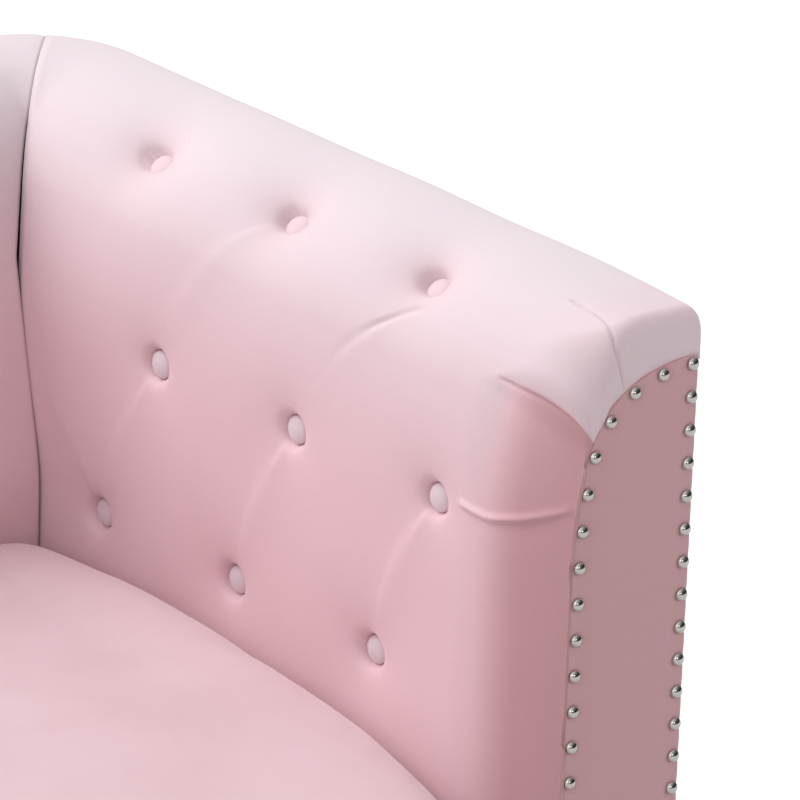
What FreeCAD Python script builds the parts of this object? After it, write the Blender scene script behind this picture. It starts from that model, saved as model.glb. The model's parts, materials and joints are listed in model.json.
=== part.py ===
"""Tufted loveseat with nailed arm fronts, two loose seat cushions and a hardwood frame.

Millimetres, +Z up, +X to the viewer's right, the front faces -Y. The origin lies on the floor under the
middle of the object. Right-hand pieces are modelled and mirrored across the YZ plane for the left.
A place on an arm is given by u, inward from the arm's outside face; a place on the back by v, forward
from the outside back.
"""
import FreeCAD, Part
import math
import os

V = FreeCAD.Vector

# Overall body
BODY_WIDTH = 1372.0
BODY_DEPTH = 744.0
BODY_HEIGHT = 814.0
BASE_HEIGHT = 140.0
CORNER_RADIUS = 104.0

# Cloth, boards and clearances
COVER = 1.5
BOARD = 3.0
LINER = 2.5
FIT = 0.3

# Section of arms and back: three tangent arcs from the inside face over the roll to the top
SIDE_TURN = math.radians(12.0)
TOP_TURN = math.radians(15.0)
ARM_THICK = 133.0
PAD_SIDE_RADIUS = 500.0
PAD_TOP_RADIUS = 150.0
PAD_EDGE_RADIUS = 14.0
BACK_SEAT_THICK = 167.0
PAD_BOTTOM = 302.0

# Arm front facing, whose edge the padding rolls out from
PANEL_WIDTH = 109.0
PANEL_DROP = 45.0
PANEL_SIDE_RADIUS = 382.0
PANEL_TOP_RADIUS = 152.0
PANEL_EDGE_RADIUS = 5.0
FACING_BOARD = 9.0
FRONT_ROUND = 80.0

# Front end of an arm: share of the round, how far the inside has swelled, how far the top has risen
FRONT_SWELL = ((0.0, 0.15, 0.69), (0.025, 0.34, 0.85), (0.075, 0.47, 0.94), (0.175, 0.63, 1.0),
               (0.44, 0.85, 1.0), (1.0, 1.0, 1.0))

# Decorative nails
NAIL_DIAMETER = 9.4
NAIL_HEIGHT = 3.2
NAIL_SHANK = 1.3
NAIL_LENGTH = 8.0
NAIL_PITCH = 26.5
OUTER_NAIL_PITCH = 24.8
NAIL_INSET = 6.5

# Tufts: rows at the roll, the upper face and the lower face
TUFT_PITCH = 160.0
TUFT_STAGGER = 66.0
TUFT_FIRST = 130.0
ARM_TUFTS = 3
TUFT_BOWL = 66.0
ROLL_TUFT_ANGLE = math.radians(51.0)
ROLL_TUFT_DEPTH = 29.0
UPPER_TUFT_DROP = 168.0
UPPER_TUFT_DEPTH = 15.0
LOWER_TUFT_DROP = 307.0
LOWER_TUFT_DEPTH = 18.0
BUTTON_DIAMETER = 23.0
BUTTON_RIM = 2.5
BUTTON_DOME = 5.0
TIE_DIAMETER = 2.0
TIE_TAIL = 8.0
KNOT_DIAMETER = 10.0

# Hardwood frame
LUMBER = 30.0
POST = 45.0
TOP_RAIL_WIDTH = 50.0
TOP_RAIL_THICK = 22.0
TACK_RAIL_WIDTH = 27.0
TACK_RAIL_HEIGHT = 40.0
RAIL_TOP = 290.0
BRACE_HEIGHT = 60.0
BLOCK = 44.0
BLOCK_HEIGHT = 85.0
DOWEL_DIAMETER = 10.0
DOWEL_LENGTH = 40.0
DOWEL_RISE = 45.0
SCREW_DIAMETER = 5.0
SCREW_HEAD = 9.0
SCREW_HEAD_THICK = 3.0
SCREW_LENGTH = 55.0
SCREW_SPREAD = 22.0

# Legs
LEG_TOP = 50.0
LEG_FOOT = 34.0
LEG_EDGE_RADIUS = 5.0
GLIDE_DIAMETER = 24.0
GLIDE_HEIGHT = 6.0
GLIDE_EDGE = 1.5
PLATE = 40.0
PLATE_THICK = 2.5
BOLT_DIAMETER = 8.0
BOLT_REACH = 42.0
DUST_COVER = 1.2

# Seat suspension and deck
SPRING_COUNT = 8
SPRING_WIRE = 3.6
SPRING_BEND = 12.0
SPRING_CROSS = 30.0
SPRING_LEAD = 22.0
CLIP_WIDTH = 16.0
CLIP_HEIGHT = 7.0
STAY_WIRE = 2.4
STAY_SHARES = (0.34, 0.66)
DECK_CLOTH = 1.0
DECK_PAD = 19.7
BORDER_PAD = 10.0
BORDER_SETBACK = 4.5
WEBBING_WIDTH = 50.0
WEBBING_THICK = 2.0
WEBBING_COUNT = 4
WEBBING_SHIFT = 0.25

# Loose seat cushions
CUSHION_GAP = 1.0
CUSHION_BACK_GAP = 8.0
CUSHION_FRONT = 9.0
CUSHION_DRAW = 5.0
CUSHION_SHOULDER = 462.0
CUSHION_CROWN = 30.0
CUSHION_BOW = 2.0
CROWN_AT_NOSE = 0.5
CROWN_AT_REAR = 0.33
CROWN_SWELL = 0.17
CUSHION_EDGE_DROP = 16.0
CUSHION_FRONT_DROP = 50.0
CUSHION_FRONT_BULGE = 7.0
CUSHION_FOOT_ROUND = 12.0
WATERFALL_REACH = 300.0
WATERFALL_SAG = 10.0
CUSHION_STATIONS = ((0.0, 1.0, 0.0), (0.022, 0.4, 0.15), (0.085, 0.0, 0.45), (0.28, 0.0, 0.85),
                    (0.5, 0.0, 1.0))
ZIP_LENGTH = 420.0
ZIP_TAPE = 14.0
ZIP_TAPE_THICK = 1.0
ZIP_TEETH = 4.0
ZIP_TEETH_RISE = 1.4
ZIP_STOP = 5.0
ZIP_RISE = 70.0
SLIDER_LENGTH = 12.0
SLIDER_HEIGHT = 11.0
SLIDER_WALL = 1.8
TAB_WIDTH = 5.0
TAB_LENGTH = 22.0
TAB_THICK = 1.2

# Places that follow from the sizes above
HALF = BODY_WIDTH / 2
REAR = (BODY_DEPTH + NAIL_HEIGHT) / 2
FRONT = REAR - BODY_DEPTH
PANEL_TOP = BODY_HEIGHT - PANEL_DROP
SKIN = COVER + BOARD
POST_INSET = CORNER_RADIUS - (CORNER_RADIUS - SKIN - FIT) / math.sqrt(2)
FACING_BACK = FRONT + COVER + FACING_BOARD
POST_BACK = FACING_BACK + LUMBER
POST_FAR = POST_INSET + POST
UNDERSIDE = BASE_HEIGHT - DUST_COVER
CLIP_TOP = RAIL_TOP + CLIP_HEIGHT
DECK_TOP = CLIP_TOP + DECK_CLOTH + DECK_PAD + COVER
WELL_HALF = HALF - ARM_THICK
FAR_OUT = 60.0


def box(x0, x1, y0, y1, z0, z1):
    """Box between two corners."""
    return Part.makeBox(x1 - x0, y1 - y0, z1 - z0, V(x0, y0, z0))


def mirrored(shape):
    """The left-hand copy of a right-hand piece."""
    return shape.mirror(V(0, 0, 0), V(1, 0, 0))


def group(shapes):
    """Several separate solids as one node."""
    return Part.makeCompound(shapes)


def both_sides(shape):
    """A right-hand piece and its left-hand copy as one node."""
    return group([shape, mirrored(shape)])


def wire_of(segments, spot):
    """Wire through line (two-point) and arc (three-point) segments, each point put in space by spot."""
    edges = []
    for points in segments:
        places = [spot(*point) for point in points]
        if len(places) == 2:
            edges.append(Part.LineSegment(*places).toShape())
        else:
            edges.append(Part.Arc(*places).toShape())
    return Part.Wire(edges)


def prism(points, z0, z1):
    """Upright prism on a plan polygon."""
    corners = [V(x, y, z0) for x, y in points]
    return Part.Face(Part.makePolygon(corners + corners[:1])).extrude(V(0, 0, z1 - z0))


class Roll:
    """Section of an arm or back, as three tangent arcs from the inside face to the top.

    A seat_thick turns the lowest arc into a raked straight face that reaches forward to that depth.
    """

    def __init__(self, thick, top, side_radius, top_radius, edge_radius, seat_thick=None, outer=0.0):
        self.thick = thick
        self.top = top
        self.side_radius = side_radius
        self.top_radius = top_radius
        self.edge_radius = edge_radius
        self.seat_thick = seat_thick
        self.outer = outer
        across = thick - outer - edge_radius
        across -= side_radius * (1 - math.cos(SIDE_TURN)) + top_radius * math.sin(TOP_TURN)
        self.radius = across / (math.cos(SIDE_TURN) - math.sin(TOP_TURN))
        self.foot = top - side_radius * math.sin(SIDE_TURN)
        self.foot -= self.radius * (math.cos(TOP_TURN) - math.sin(SIDE_TURN))
        self.foot -= top_radius * (1 - math.cos(TOP_TURN))
        self.start = self.side_point(SIDE_TURN)
        self.centre = (self.start[0] - self.radius * math.cos(SIDE_TURN),
                       self.start[1] - self.radius * math.sin(SIDE_TURN))

    def inset(self, amount):
        """The same section drawn in by an amount on every side."""
        seat = None if self.seat_thick is None else self.seat_thick - amount
        return Roll(self.thick - amount, self.top - amount, self.side_radius - amount,
                    self.top_radius - amount, self.edge_radius - amount, seat, self.outer + amount)

    def side_point(self, turn):
        """Point of the lowest arc where the face has turned by this angle from upright."""
        return (self.thick - self.side_radius * (1 - math.cos(turn)),
                self.foot + self.side_radius * math.sin(turn))

    def roll_point(self, turn):
        """Point of the roll arc."""
        return (self.centre[0] + self.radius * math.cos(turn), self.centre[1] + self.radius * math.sin(turn))

    def top_point(self, turn):
        """Point of the uppermost arc."""
        end = self.roll_point(math.pi / 2 - TOP_TURN)
        return (end[0] - self.top_radius * (math.sin(TOP_TURN) - math.cos(turn)),
                end[1] + self.top_radius * (math.sin(turn) - math.cos(TOP_TURN)))

    def rake_foot(self):
        """Height at which the raked face has come forward to the seat depth."""
        return self.start[1] - (self.seat_thick - self.start[0]) / math.tan(SIDE_TURN)

    def face_at(self, height):
        """Depth of the inside face at a height below the roll."""
        if self.seat_thick is None:
            above = max(height - self.foot, 0.0)
            return self.thick - self.side_radius + math.sqrt(self.side_radius ** 2 - above ** 2)
        raked = self.start[0] + (self.start[1] - height) * math.tan(SIDE_TURN)
        return min(raked, self.seat_thick)

    def height_at(self, depth):
        """Height of the roll arc at a depth from the outside face."""
        return self.centre[1] + math.sqrt(self.radius ** 2 - (depth - self.centre[0]) ** 2)

    def inside_segments(self, bottom):
        """Inside face from the bottom up to the roll, without the roll."""
        if self.seat_thick is None:
            middle = self.side_point(SIDE_TURN / 2)
            foot = (self.thick, self.foot)
            return [((self.thick, bottom), foot), (foot, middle, self.start)]
        knee = (self.seat_thick, self.rake_foot())
        return [((self.seat_thick, bottom), knee), (knee, self.start)]

    def over_segments(self, bottom):
        """Inside face, roll and top, ending where the outer edge begins to turn down."""
        roll_end = math.pi / 2 - TOP_TURN
        roll_mid = (SIDE_TURN + roll_end) / 2
        top_mid = (roll_end + math.pi / 2) / 2
        peak = self.top_point(math.pi / 2)
        return self.inside_segments(bottom) + [
            (self.start, self.roll_point(roll_mid), self.roll_point(roll_end)),
            (self.roll_point(roll_end), self.top_point(top_mid), peak)]

    def segments(self, bottom):
        """The whole closed section."""
        slant = self.edge_radius * (1 - math.sqrt(0.5))
        peak = self.top_point(math.pi / 2)
        edge_end = (self.outer, self.top - self.edge_radius)
        edge_mid = (self.outer + slant, self.top - slant)
        inner_foot = self.inside_segments(bottom)[0][0]
        return self.over_segments(bottom) + [
            (peak, edge_mid, edge_end),
            (edge_end, (self.outer, bottom)),
            ((self.outer, bottom), inner_foot)]

    def tool_segments(self, bottom):
        """Closed section that runs out past the outside face under a flat top, for cutting."""
        peak = self.top_point(math.pi / 2)
        inner_foot = self.inside_segments(bottom)[0][0]
        return self.over_segments(bottom) + [
            (peak, (-FAR_OUT, self.top)),
            ((-FAR_OUT, self.top), (-FAR_OUT, bottom)),
            ((-FAR_OUT, bottom), inner_foot)]


ARM_ROLL = Roll(ARM_THICK, BODY_HEIGHT, PAD_SIDE_RADIUS, PAD_TOP_RADIUS, PAD_EDGE_RADIUS)
BACK_ROLL = Roll(ARM_THICK, BODY_HEIGHT, PAD_SIDE_RADIUS, PAD_TOP_RADIUS, PAD_EDGE_RADIUS, BACK_SEAT_THICK)
PANEL = Roll(PANEL_WIDTH, PANEL_TOP, PANEL_SIDE_RADIUS, PANEL_TOP_RADIUS, PANEL_EDGE_RADIUS)
BACK_PANEL = Roll(PANEL_WIDTH, PANEL_TOP, PANEL_SIDE_RADIUS, PANEL_TOP_RADIUS, PANEL_EDGE_RADIUS,
                  BACK_SEAT_THICK - (ARM_THICK - PANEL_WIDTH))
TOP_RAIL_TOP = PANEL.inset(2 * FIT + LINER).height_at(POST_INSET + TOP_RAIL_WIDTH)
TOP_RAIL_FOOT = TOP_RAIL_TOP - TOP_RAIL_THICK
TACK_DEPTH = PANEL_WIDTH - 2 * FIT - LINER
BACK_TACK_DEPTH = BACK_PANEL.seat_thick - 3 * FIT - LINER - WEBBING_THICK


def along_arm(segments, y0, y1):
    """Arm section carried along the arm."""
    wire = wire_of(segments, lambda u, z: V(HALF - u, y0, z))
    return Part.Face(wire).extrude(V(0, y1 - y0, 0))


def along_back(segments, reach):
    """Back section carried across the back, reach to each side of the middle."""
    wire = wire_of(segments, lambda v, z: V(-reach, REAR - v, z))
    return Part.Face(wire).extrude(V(2 * reach, 0, 0))


def plan_block(inset, y0, z0, z1):
    """Whole plan of the body with round rear corners, drawn in by inset at the sides and rear."""
    side = HALF - inset
    rear = REAR - inset
    turn = HALF - CORNER_RADIUS
    bend = (CORNER_RADIUS - inset) * math.sqrt(0.5)
    line = REAR - CORNER_RADIUS
    segments = [((-side, y0), (side, y0)), ((side, y0), (side, line)),
                ((side, line), (turn + bend, line + bend), (turn, rear)),
                ((turn, rear), (-turn, rear)),
                ((-turn, rear), (-turn - bend, line + bend), (-side, line)),
                ((-side, line), (-side, y0))]
    wire = wire_of(segments, lambda x, y: V(x, y, z0))
    return Part.Face(wire).extrude(V(0, 0, z1 - z0))


def arm_share(inner, gap):
    """Right arm's share of the plan: in front of the 45 degree mitre line, out to the depth inner."""
    slip = gap * math.sqrt(2)
    corners = [(-FAR_OUT, -FAR_OUT - slip), (inner, inner - slip), (inner, BODY_DEPTH + FAR_OUT),
               (-FAR_OUT, BODY_DEPTH + FAR_OUT)]
    return prism([(HALF - u, REAR - v) for u, v in corners], 0, BODY_HEIGHT + FAR_OUT)


def arm_piece(shape):
    """Cuts a piece to the right arm's share of the plan."""
    return shape.common(arm_share(ARM_THICK + FAR_OUT, 0))


def back_piece(shape):
    """Cuts both arms' shares of the plan off a piece of the back."""
    share = arm_share(ARM_THICK + FIT, FIT)
    return shape.cut(share).cut(mirrored(share))


def swelled(panel, pad, swell, rise):
    """Section between the facing's outline and the pad's: the inside follows swell, the top follows rise."""
    bend = ARM_ROLL.start[1]
    crest = ARM_ROLL.roll_point(math.pi / 2 - TOP_TURN)[1]

    def between(a, b):
        lift = min(max((b[1] - bend) / (crest - bend), 0.0), 1.0)
        share = swell + (rise - swell) * lift
        return a[0] + (b[0] - a[0]) * swell, a[1] + (b[1] - a[1]) * share

    return [tuple(between(a, b) for a, b in zip(p, q)) for p, q in zip(panel, pad)]


def arm_envelope(inset):
    """Outside of the padded arm with its swelling front end, drawn in by inset."""
    panel = PANEL.inset(inset).segments(PAD_BOTTOM)
    pad = ARM_ROLL.inset(inset).segments(PAD_BOTTOM)
    sections = []
    for share, swell, rise in FRONT_SWELL:
        y = FRONT + inset + share * FRONT_ROUND
        section = swelled(panel, pad, swell, rise)
        sections.append(wire_of(section, lambda u, z: V(HALF - u, y, z)))
    nose = Part.makeLoft(sections, True, True)
    body = along_arm(pad, FRONT + inset + FRONT_ROUND, REAR + FAR_OUT)
    return nose.fuse(body).common(plan_block(inset, FRONT - FAR_OUT, 0, BODY_HEIGHT + FAR_OUT))


def back_envelope(inset):
    """Outside of the padded back, drawn in by inset."""
    body = along_back(BACK_ROLL.inset(inset).segments(PAD_BOTTOM), HALF)
    return body.common(plan_block(inset, FRONT, 0, BODY_HEIGHT + FAR_OUT))


def tuft_rows(roll, core):
    """Rows as (surface point, outward direction, tuft depth, way to the core, staggered), in section."""
    spot = roll.roll_point(ROLL_TUFT_ANGLE)
    way = (math.cos(ROLL_TUFT_ANGLE), math.sin(ROLL_TUFT_ANGLE))
    across = (spot[0] - core.centre[0], spot[1] - core.centre[1])
    along = across[0] * way[0] + across[1] * way[1]
    aside = across[0] ** 2 + across[1] ** 2 - along ** 2
    rows = [(spot, way, ROLL_TUFT_DEPTH, along - math.sqrt(core.radius ** 2 - aside), True)]
    for drop, depth, staggered in ((UPPER_TUFT_DROP, UPPER_TUFT_DEPTH, False),
                                   (LOWER_TUFT_DROP, LOWER_TUFT_DEPTH, True)):
        height = BODY_HEIGHT - drop
        raked = roll.seat_thick is not None and roll.face_at(height) < roll.seat_thick
        way = (math.cos(SIDE_TURN), math.sin(SIDE_TURN)) if raked else (1.0, 0.0)
        reach = (roll.face_at(height) - core.face_at(height)) * way[0]
        rows.append(((roll.face_at(height), height), way, depth, reach, staggered))
    return rows


def arm_tufts():
    """Tufts of the right arm as (surface point, outward direction, depth, way to the liner's back)."""
    tufts = []
    core = PANEL.inset(FIT + LINER)
    for (u, z), (du, dz), depth, reach, staggered in tuft_rows(ARM_ROLL, core):
        first = FRONT + TUFT_FIRST + (TUFT_STAGGER if staggered else 0.0)
        for number in range(ARM_TUFTS):
            tufts.append((V(HALF - u, first + number * TUFT_PITCH, z), V(-du, 0, dz), depth, reach))
    return tufts


def back_tufts():
    """Tufts of the back, symmetrical about the middle, as many as fit between the arms."""
    tufts = []
    core = BACK_PANEL.inset(FIT + LINER)
    for (v, z), (dv, dz), depth, reach, staggered in tuft_rows(BACK_ROLL, core):
        first = TUFT_PITCH / 2 if staggered else 0.0
        count = int((WELL_HALF - TUFT_BOWL - first) / TUFT_PITCH) + 1
        places = [first + number * TUFT_PITCH for number in range(count)]
        for x in sorted(set([-place for place in places] + places)):
            tufts.append((V(x, REAR - v, z), V(0, -dv, dz), depth, reach))
    return tufts


def bowls(tufts, grow):
    """Round hollows that the buttons draw into the padding, grown by a cloth thickness."""
    return [Part.makeSphere(TUFT_BOWL + grow, point + way * (TUFT_BOWL - depth))
            for point, way, depth, _ in tufts]


def bores(tufts):
    """Needle holes for the ties, through cloth, foam and liner."""
    return [Part.makeCylinder(TIE_DIAMETER / 2 + FIT, reach + TIE_TAIL, point, -way)
            for point, way, _, reach in tufts]


def tufted_cover(envelope, core, tufts):
    """Cloth skin between the padded outside and the foam, open towards the frame."""
    outside = envelope(0).cut(bowls(tufts, 0))
    inside = envelope(COVER).cut(bowls(tufts, COVER))
    return outside.cut(inside).cut(core).cut(bores(tufts))


def tufted_foam(envelope, core, tufts):
    """Foam under a tufted cover."""
    grow = COVER + FIT
    return envelope(grow).cut(bowls(tufts, grow)).cut(core).cut(bores(tufts))


def arm_core(grow):
    """Frame space of the right arm, down to the floor, grown by an amount."""
    return along_arm(PANEL.inset(-grow).tool_segments(0), FRONT - FAR_OUT, REAR + FAR_OUT)


def back_core(grow):
    """Frame space of the back, down to the floor, grown by an amount."""
    return along_back(BACK_PANEL.inset(-grow).tool_segments(0), HALF + FAR_OUT)


def arm_cover():
    """Tufted cloth over the right arm."""
    return arm_piece(tufted_cover(arm_envelope, arm_core(0), arm_tufts()))


def arm_foam():
    """Tufted foam of the right arm."""
    return arm_piece(tufted_foam(arm_envelope, arm_core(FIT), arm_tufts()))


def back_cover():
    """Tufted cloth over the inside back and its top."""
    return back_piece(tufted_cover(back_envelope, back_core(0), back_tufts()))


def back_foam():
    """Tufted foam of the back."""
    return back_piece(tufted_foam(back_envelope, back_core(FIT), back_tufts()))


def arm_liner():
    """Thin board bent over the right arm's rails under the foam."""
    outside = PANEL.inset(FIT).tool_segments(PAD_BOTTOM)
    inside = PANEL.inset(FIT + LINER).tool_segments(PAD_BOTTOM - FAR_OUT)
    shell = along_arm(outside, POST_BACK, REAR).cut(along_arm(inside, FRONT, REAR + FAR_OUT))
    shell = shell.common(plan_block(SKIN + FIT, FRONT, 0, BODY_HEIGHT))
    return arm_piece(shell).cut(bores(arm_tufts()))


def back_liner():
    """Thin board bent over the back's rails under the foam."""
    outside = BACK_PANEL.inset(FIT).tool_segments(PAD_BOTTOM)
    inside = BACK_PANEL.inset(FIT + LINER).tool_segments(PAD_BOTTOM - FAR_OUT)
    shell = along_back(outside, HALF).cut(along_back(inside, HALF + FAR_OUT))
    shell = shell.common(plan_block(SKIN + FIT, FRONT, 0, BODY_HEIGHT))
    return back_piece(shell).cut(bores(back_tufts()))


def outer_skin(inset, thick, foot):
    """Upright skin round the sides and rear of the body, up to the padding."""
    top = PANEL_TOP - FIT
    outside = plan_block(inset, FACING_BACK, foot, top)
    return outside.cut(plan_block(inset + thick, FACING_BACK - FAR_OUT, foot - FAR_OUT, top + FAR_OUT))


def arm_skin(inset, thick, foot):
    """Right arm's share of the upright skin, kept under the arm's padding."""
    return arm_piece(outer_skin(inset, thick, foot).common(arm_core(-FIT)))


def back_skin(inset, thick, foot):
    """The back's share of the upright skin, kept under the back's padding."""
    return back_piece(outer_skin(inset, thick, foot).common(back_core(-FIT)))


def facing_cover():
    """Cloth over the arm's front facing, turned round its edge."""
    outside = along_arm(PANEL.inset(FIT).segments(UNDERSIDE), FRONT, FACING_BACK)
    inside = PANEL.inset(FIT + COVER).segments(UNDERSIDE - FAR_OUT)
    return outside.cut(along_arm(inside, FRONT + COVER, FACING_BACK + FAR_OUT))


def facing_board():
    """Board under the facing's cloth."""
    return along_arm(PANEL.inset(2 * FIT + COVER).segments(UNDERSIDE), FRONT + COVER, FACING_BACK)


def nail(place):
    """Domed nail whose shank runs back from the facing."""
    rim = NAIL_DIAMETER / 2
    ball = (rim ** 2 + NAIL_HEIGHT ** 2) / (2 * NAIL_HEIGHT)
    middle = place + V(0, ball - NAIL_HEIGHT, 0)
    dome = Part.makeSphere(ball, middle).common(Part.makeCylinder(2 * ball, 2 * ball, place, V(0, -1, 0)))
    return dome.fuse(Part.makeCylinder(NAIL_SHANK / 2, NAIL_LENGTH, place, V(0, 1, 0)))


def arm_nails():
    """Nails along the facing's inner and top edge, and down its outer edge, evenly spaced."""
    path = PANEL.inset(NAIL_INSET)
    foot = BASE_HEIGHT + NAIL_INSET
    inner = wire_of(path.over_segments(foot), lambda u, z: V(HALF - u, FRONT, z))
    corner = V(HALF - NAIL_INSET, FRONT, PANEL_TOP - NAIL_INSET)
    count = round(inner.Length / NAIL_PITCH)
    spots = inner.discretize(Number=count + 1)[:-1] + [corner]
    drop = corner.z - foot
    steps = round(drop / OUTER_NAIL_PITCH)
    spots += [corner - V(0, 0, drop * number / steps) for number in range(1, steps + 1)]
    return group([nail(spot) for spot in spots])


def button_seat(tuft):
    """Place of a button's flat back, where its rim meets the bowl."""
    point, way, depth, _ = tuft
    rim = BUTTON_DIAMETER / 2
    lift = TUFT_BOWL - math.sqrt(TUFT_BOWL ** 2 - rim ** 2) + FIT
    return point - way * (depth - lift)


def button(tuft):
    """Cloth-covered button seated in its bowl."""
    rim = BUTTON_DIAMETER / 2
    top = BUTTON_RIM + BUTTON_DOME
    ball = (rim ** 2 + BUTTON_DOME ** 2) / (2 * BUTTON_DOME)
    half = rim / 2
    shoulder = top - ball + math.sqrt(ball ** 2 - half ** 2)
    segments = [((0, 0), (rim, 0)), ((rim, 0), (rim, BUTTON_RIM)),
                ((rim, BUTTON_RIM), (half, shoulder), (0, top)), ((0, top), (0, 0))]
    face = Part.Face(wire_of(segments, lambda r, h: V(r, 0, h)))
    solid = face.revolve(V(0, 0, 0), V(0, 0, 1), 360)
    solid.Placement = FreeCAD.Placement(button_seat(tuft), FreeCAD.Rotation(V(0, 0, 1), tuft[1]))
    return solid


def tie(tuft):
    """Twine from a button's back through the padding to a knot behind the liner."""
    point, way, _, reach = tuft
    seat = button_seat(tuft)
    length = reach - (point - seat).Length + FIT + KNOT_DIAMETER / 2
    twine = Part.makeCylinder(TIE_DIAMETER / 2, length, seat, -way)
    return twine.fuse(Part.makeSphere(KNOT_DIAMETER / 2, seat - way * length))


def button_ties():
    """Ties of both arms and the back."""
    right = [tie(tuft) for tuft in arm_tufts()]
    left = [mirrored(shape) for shape in right]
    return group(right + left + [tie(tuft) for tuft in back_tufts()])


def front_post():
    """Right front post, cut to the facing's outline."""
    post = along_arm(PANEL.inset(FIT).segments(BASE_HEIGHT), FACING_BACK, POST_BACK)
    return post.cut(box(HALF - SKIN - FIT, HALF + FAR_OUT, FRONT, POST_BACK + FAR_OUT, 0, BODY_HEIGHT))


def rear_post():
    """Right rear post, inside the round corner and under the top rails."""
    return box(HALF - POST_FAR, HALF - POST_INSET, REAR - POST_FAR, REAR - POST_INSET,
               BASE_HEIGHT, TOP_RAIL_FOOT)


def back_centre_post():
    """Upright between the rear rail and the back's top rail."""
    return box(-POST / 2, POST / 2, REAR - POST_FAR, REAR - POST_INSET, RAIL_TOP, TOP_RAIL_FOOT)


def back_top_rail():
    """Top rail of the back, on the three posts."""
    reach = HALF - POST_INSET
    front = REAR - POST_INSET - TOP_RAIL_WIDTH
    return box(-reach, reach, front, REAR - POST_INSET, TOP_RAIL_FOOT, TOP_RAIL_TOP)


def arm_top_rail():
    """Top rail of the right arm, from the front post to the back's top rail."""
    return box(HALF - POST_INSET - TOP_RAIL_WIDTH, HALF - POST_INSET, POST_BACK,
               REAR - POST_INSET - TOP_RAIL_WIDTH, TOP_RAIL_FOOT, TOP_RAIL_TOP)


def arm_tack_rail():
    """Low rail on the inside of the right arm, from the front post along the rear post."""
    return box(HALF - TACK_DEPTH, HALF - TACK_DEPTH + TACK_RAIL_WIDTH, POST_BACK, REAR - POST_INSET,
               PAD_BOTTOM, PAD_BOTTOM + TACK_RAIL_HEIGHT)


def back_tack_rail():
    """Low rail of the back: its rear part meets the arms' rails, its front carries the straps."""
    top = PAD_BOTTOM + TACK_RAIL_HEIGHT
    reach = HALF - TACK_DEPTH
    step = REAR - TACK_DEPTH
    long_part = box(-reach, reach, step, REAR - POST_FAR, PAD_BOTTOM, top)
    front_part = box(-DECK_HALF, DECK_HALF, REAR - BACK_TACK_DEPTH, step, PAD_BOTTOM, top)
    return long_part.fuse(front_part).removeSplitter()


def side_rail():
    """Right seat rail, from the front post to the rear post."""
    return box(HALF - POST_INSET - LUMBER, HALF - POST_INSET, POST_BACK, REAR - POST_FAR,
               BASE_HEIGHT, RAIL_TOP)


FRONT_RAIL_FACE = FRONT + BORDER_SETBACK + COVER + BORDER_PAD


def front_rail():
    """Front seat rail between the front posts."""
    reach = HALF - PANEL_WIDTH + FIT
    return box(-reach, reach, FRONT_RAIL_FACE, FRONT_RAIL_FACE + LUMBER, BASE_HEIGHT, RAIL_TOP)


def rear_rail():
    """Rear seat rail between the rear posts."""
    reach = HALF - POST_FAR
    return box(-reach, reach, REAR - POST_INSET - LUMBER, REAR - POST_INSET, BASE_HEIGHT, RAIL_TOP)


def centre_brace():
    """Brace from the front rail to the rear rail under the springs."""
    return box(-LUMBER / 2, LUMBER / 2, FRONT_RAIL_FACE + LUMBER, REAR - POST_INSET - LUMBER,
               BASE_HEIGHT, BASE_HEIGHT + BRACE_HEIGHT)


def leg_spots():
    """Leg centres as (x, y), each under its corner block."""
    x = HALF - POST_INSET - LUMBER - BLOCK / 2
    front = POST_BACK + BLOCK / 2
    rear = REAR - POST_FAR - BLOCK / 2
    return [(side * x, y) for y in (front, rear) for side in (-1, 1)]


def upright(x, y, diameter, z0, z1):
    """Upright round bar."""
    return Part.makeCylinder(diameter / 2, z1 - z0, V(x, y, z0))


def bolt_bore(x, y):
    """Clearance hole for a leg bolt."""
    return upright(x, y, BOLT_DIAMETER + 2 * FIT, BASE_HEIGHT - 2 * BOLT_REACH, BASE_HEIGHT + 2 * BOLT_REACH)


def corner_blocks():
    """Blocks in the frame's corners that hold the legs."""
    blocks = []
    half = BLOCK / 2
    for x, y in leg_spots():
        block = box(x - half, x + half, y - half, y + half, BASE_HEIGHT, BASE_HEIGHT + BLOCK_HEIGHT)
        blocks.append(block.cut(bolt_bore(x, y)))
    return group(blocks)


def square_ring(x, y, z, side):
    """Level square outline with round corners."""
    half = side / 2
    flat = half - LEG_EDGE_RADIUS
    slant = flat + LEG_EDGE_RADIUS * math.sqrt(0.5)
    segments = []
    for a, b in ((1, 0), (0, 1), (-1, 0), (0, -1)):
        start = (a * half + b * flat, b * half - a * flat)
        stop = (a * half - b * flat, b * half + a * flat)
        middle = (a * slant - b * slant, b * slant + a * slant)
        turned = (a * flat - b * half, b * flat + a * half)
        segments += [(start, stop), (stop, middle, turned)]
    return wire_of(segments, lambda dx, dy: V(x + dx, y + dy, z))


def leg(x, y):
    """Tapered wooden leg with a hole for its bolt."""
    foot = square_ring(x, y, GLIDE_HEIGHT, LEG_FOOT)
    top = square_ring(x, y, BASE_HEIGHT - PLATE_THICK, LEG_TOP)
    bore = upright(x, y, BOLT_DIAMETER + 2 * FIT, BASE_HEIGHT - BOLT_REACH, BASE_HEIGHT)
    return Part.makeLoft([foot, top], True, True).cut(bore)


def leg_plates():
    """Steel plates between the legs and the blocks."""
    half = PLATE / 2
    return group([box(x - half, x + half, y - half, y + half, BASE_HEIGHT - PLATE_THICK, BASE_HEIGHT)
                  .cut(bolt_bore(x, y)) for x, y in leg_spots()])


def leg_bolts():
    """Threaded bolts that join the legs to the blocks."""
    return group([upright(x, y, BOLT_DIAMETER, BASE_HEIGHT - BOLT_REACH + FIT, BASE_HEIGHT + BOLT_REACH)
                  for x, y in leg_spots()])


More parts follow.
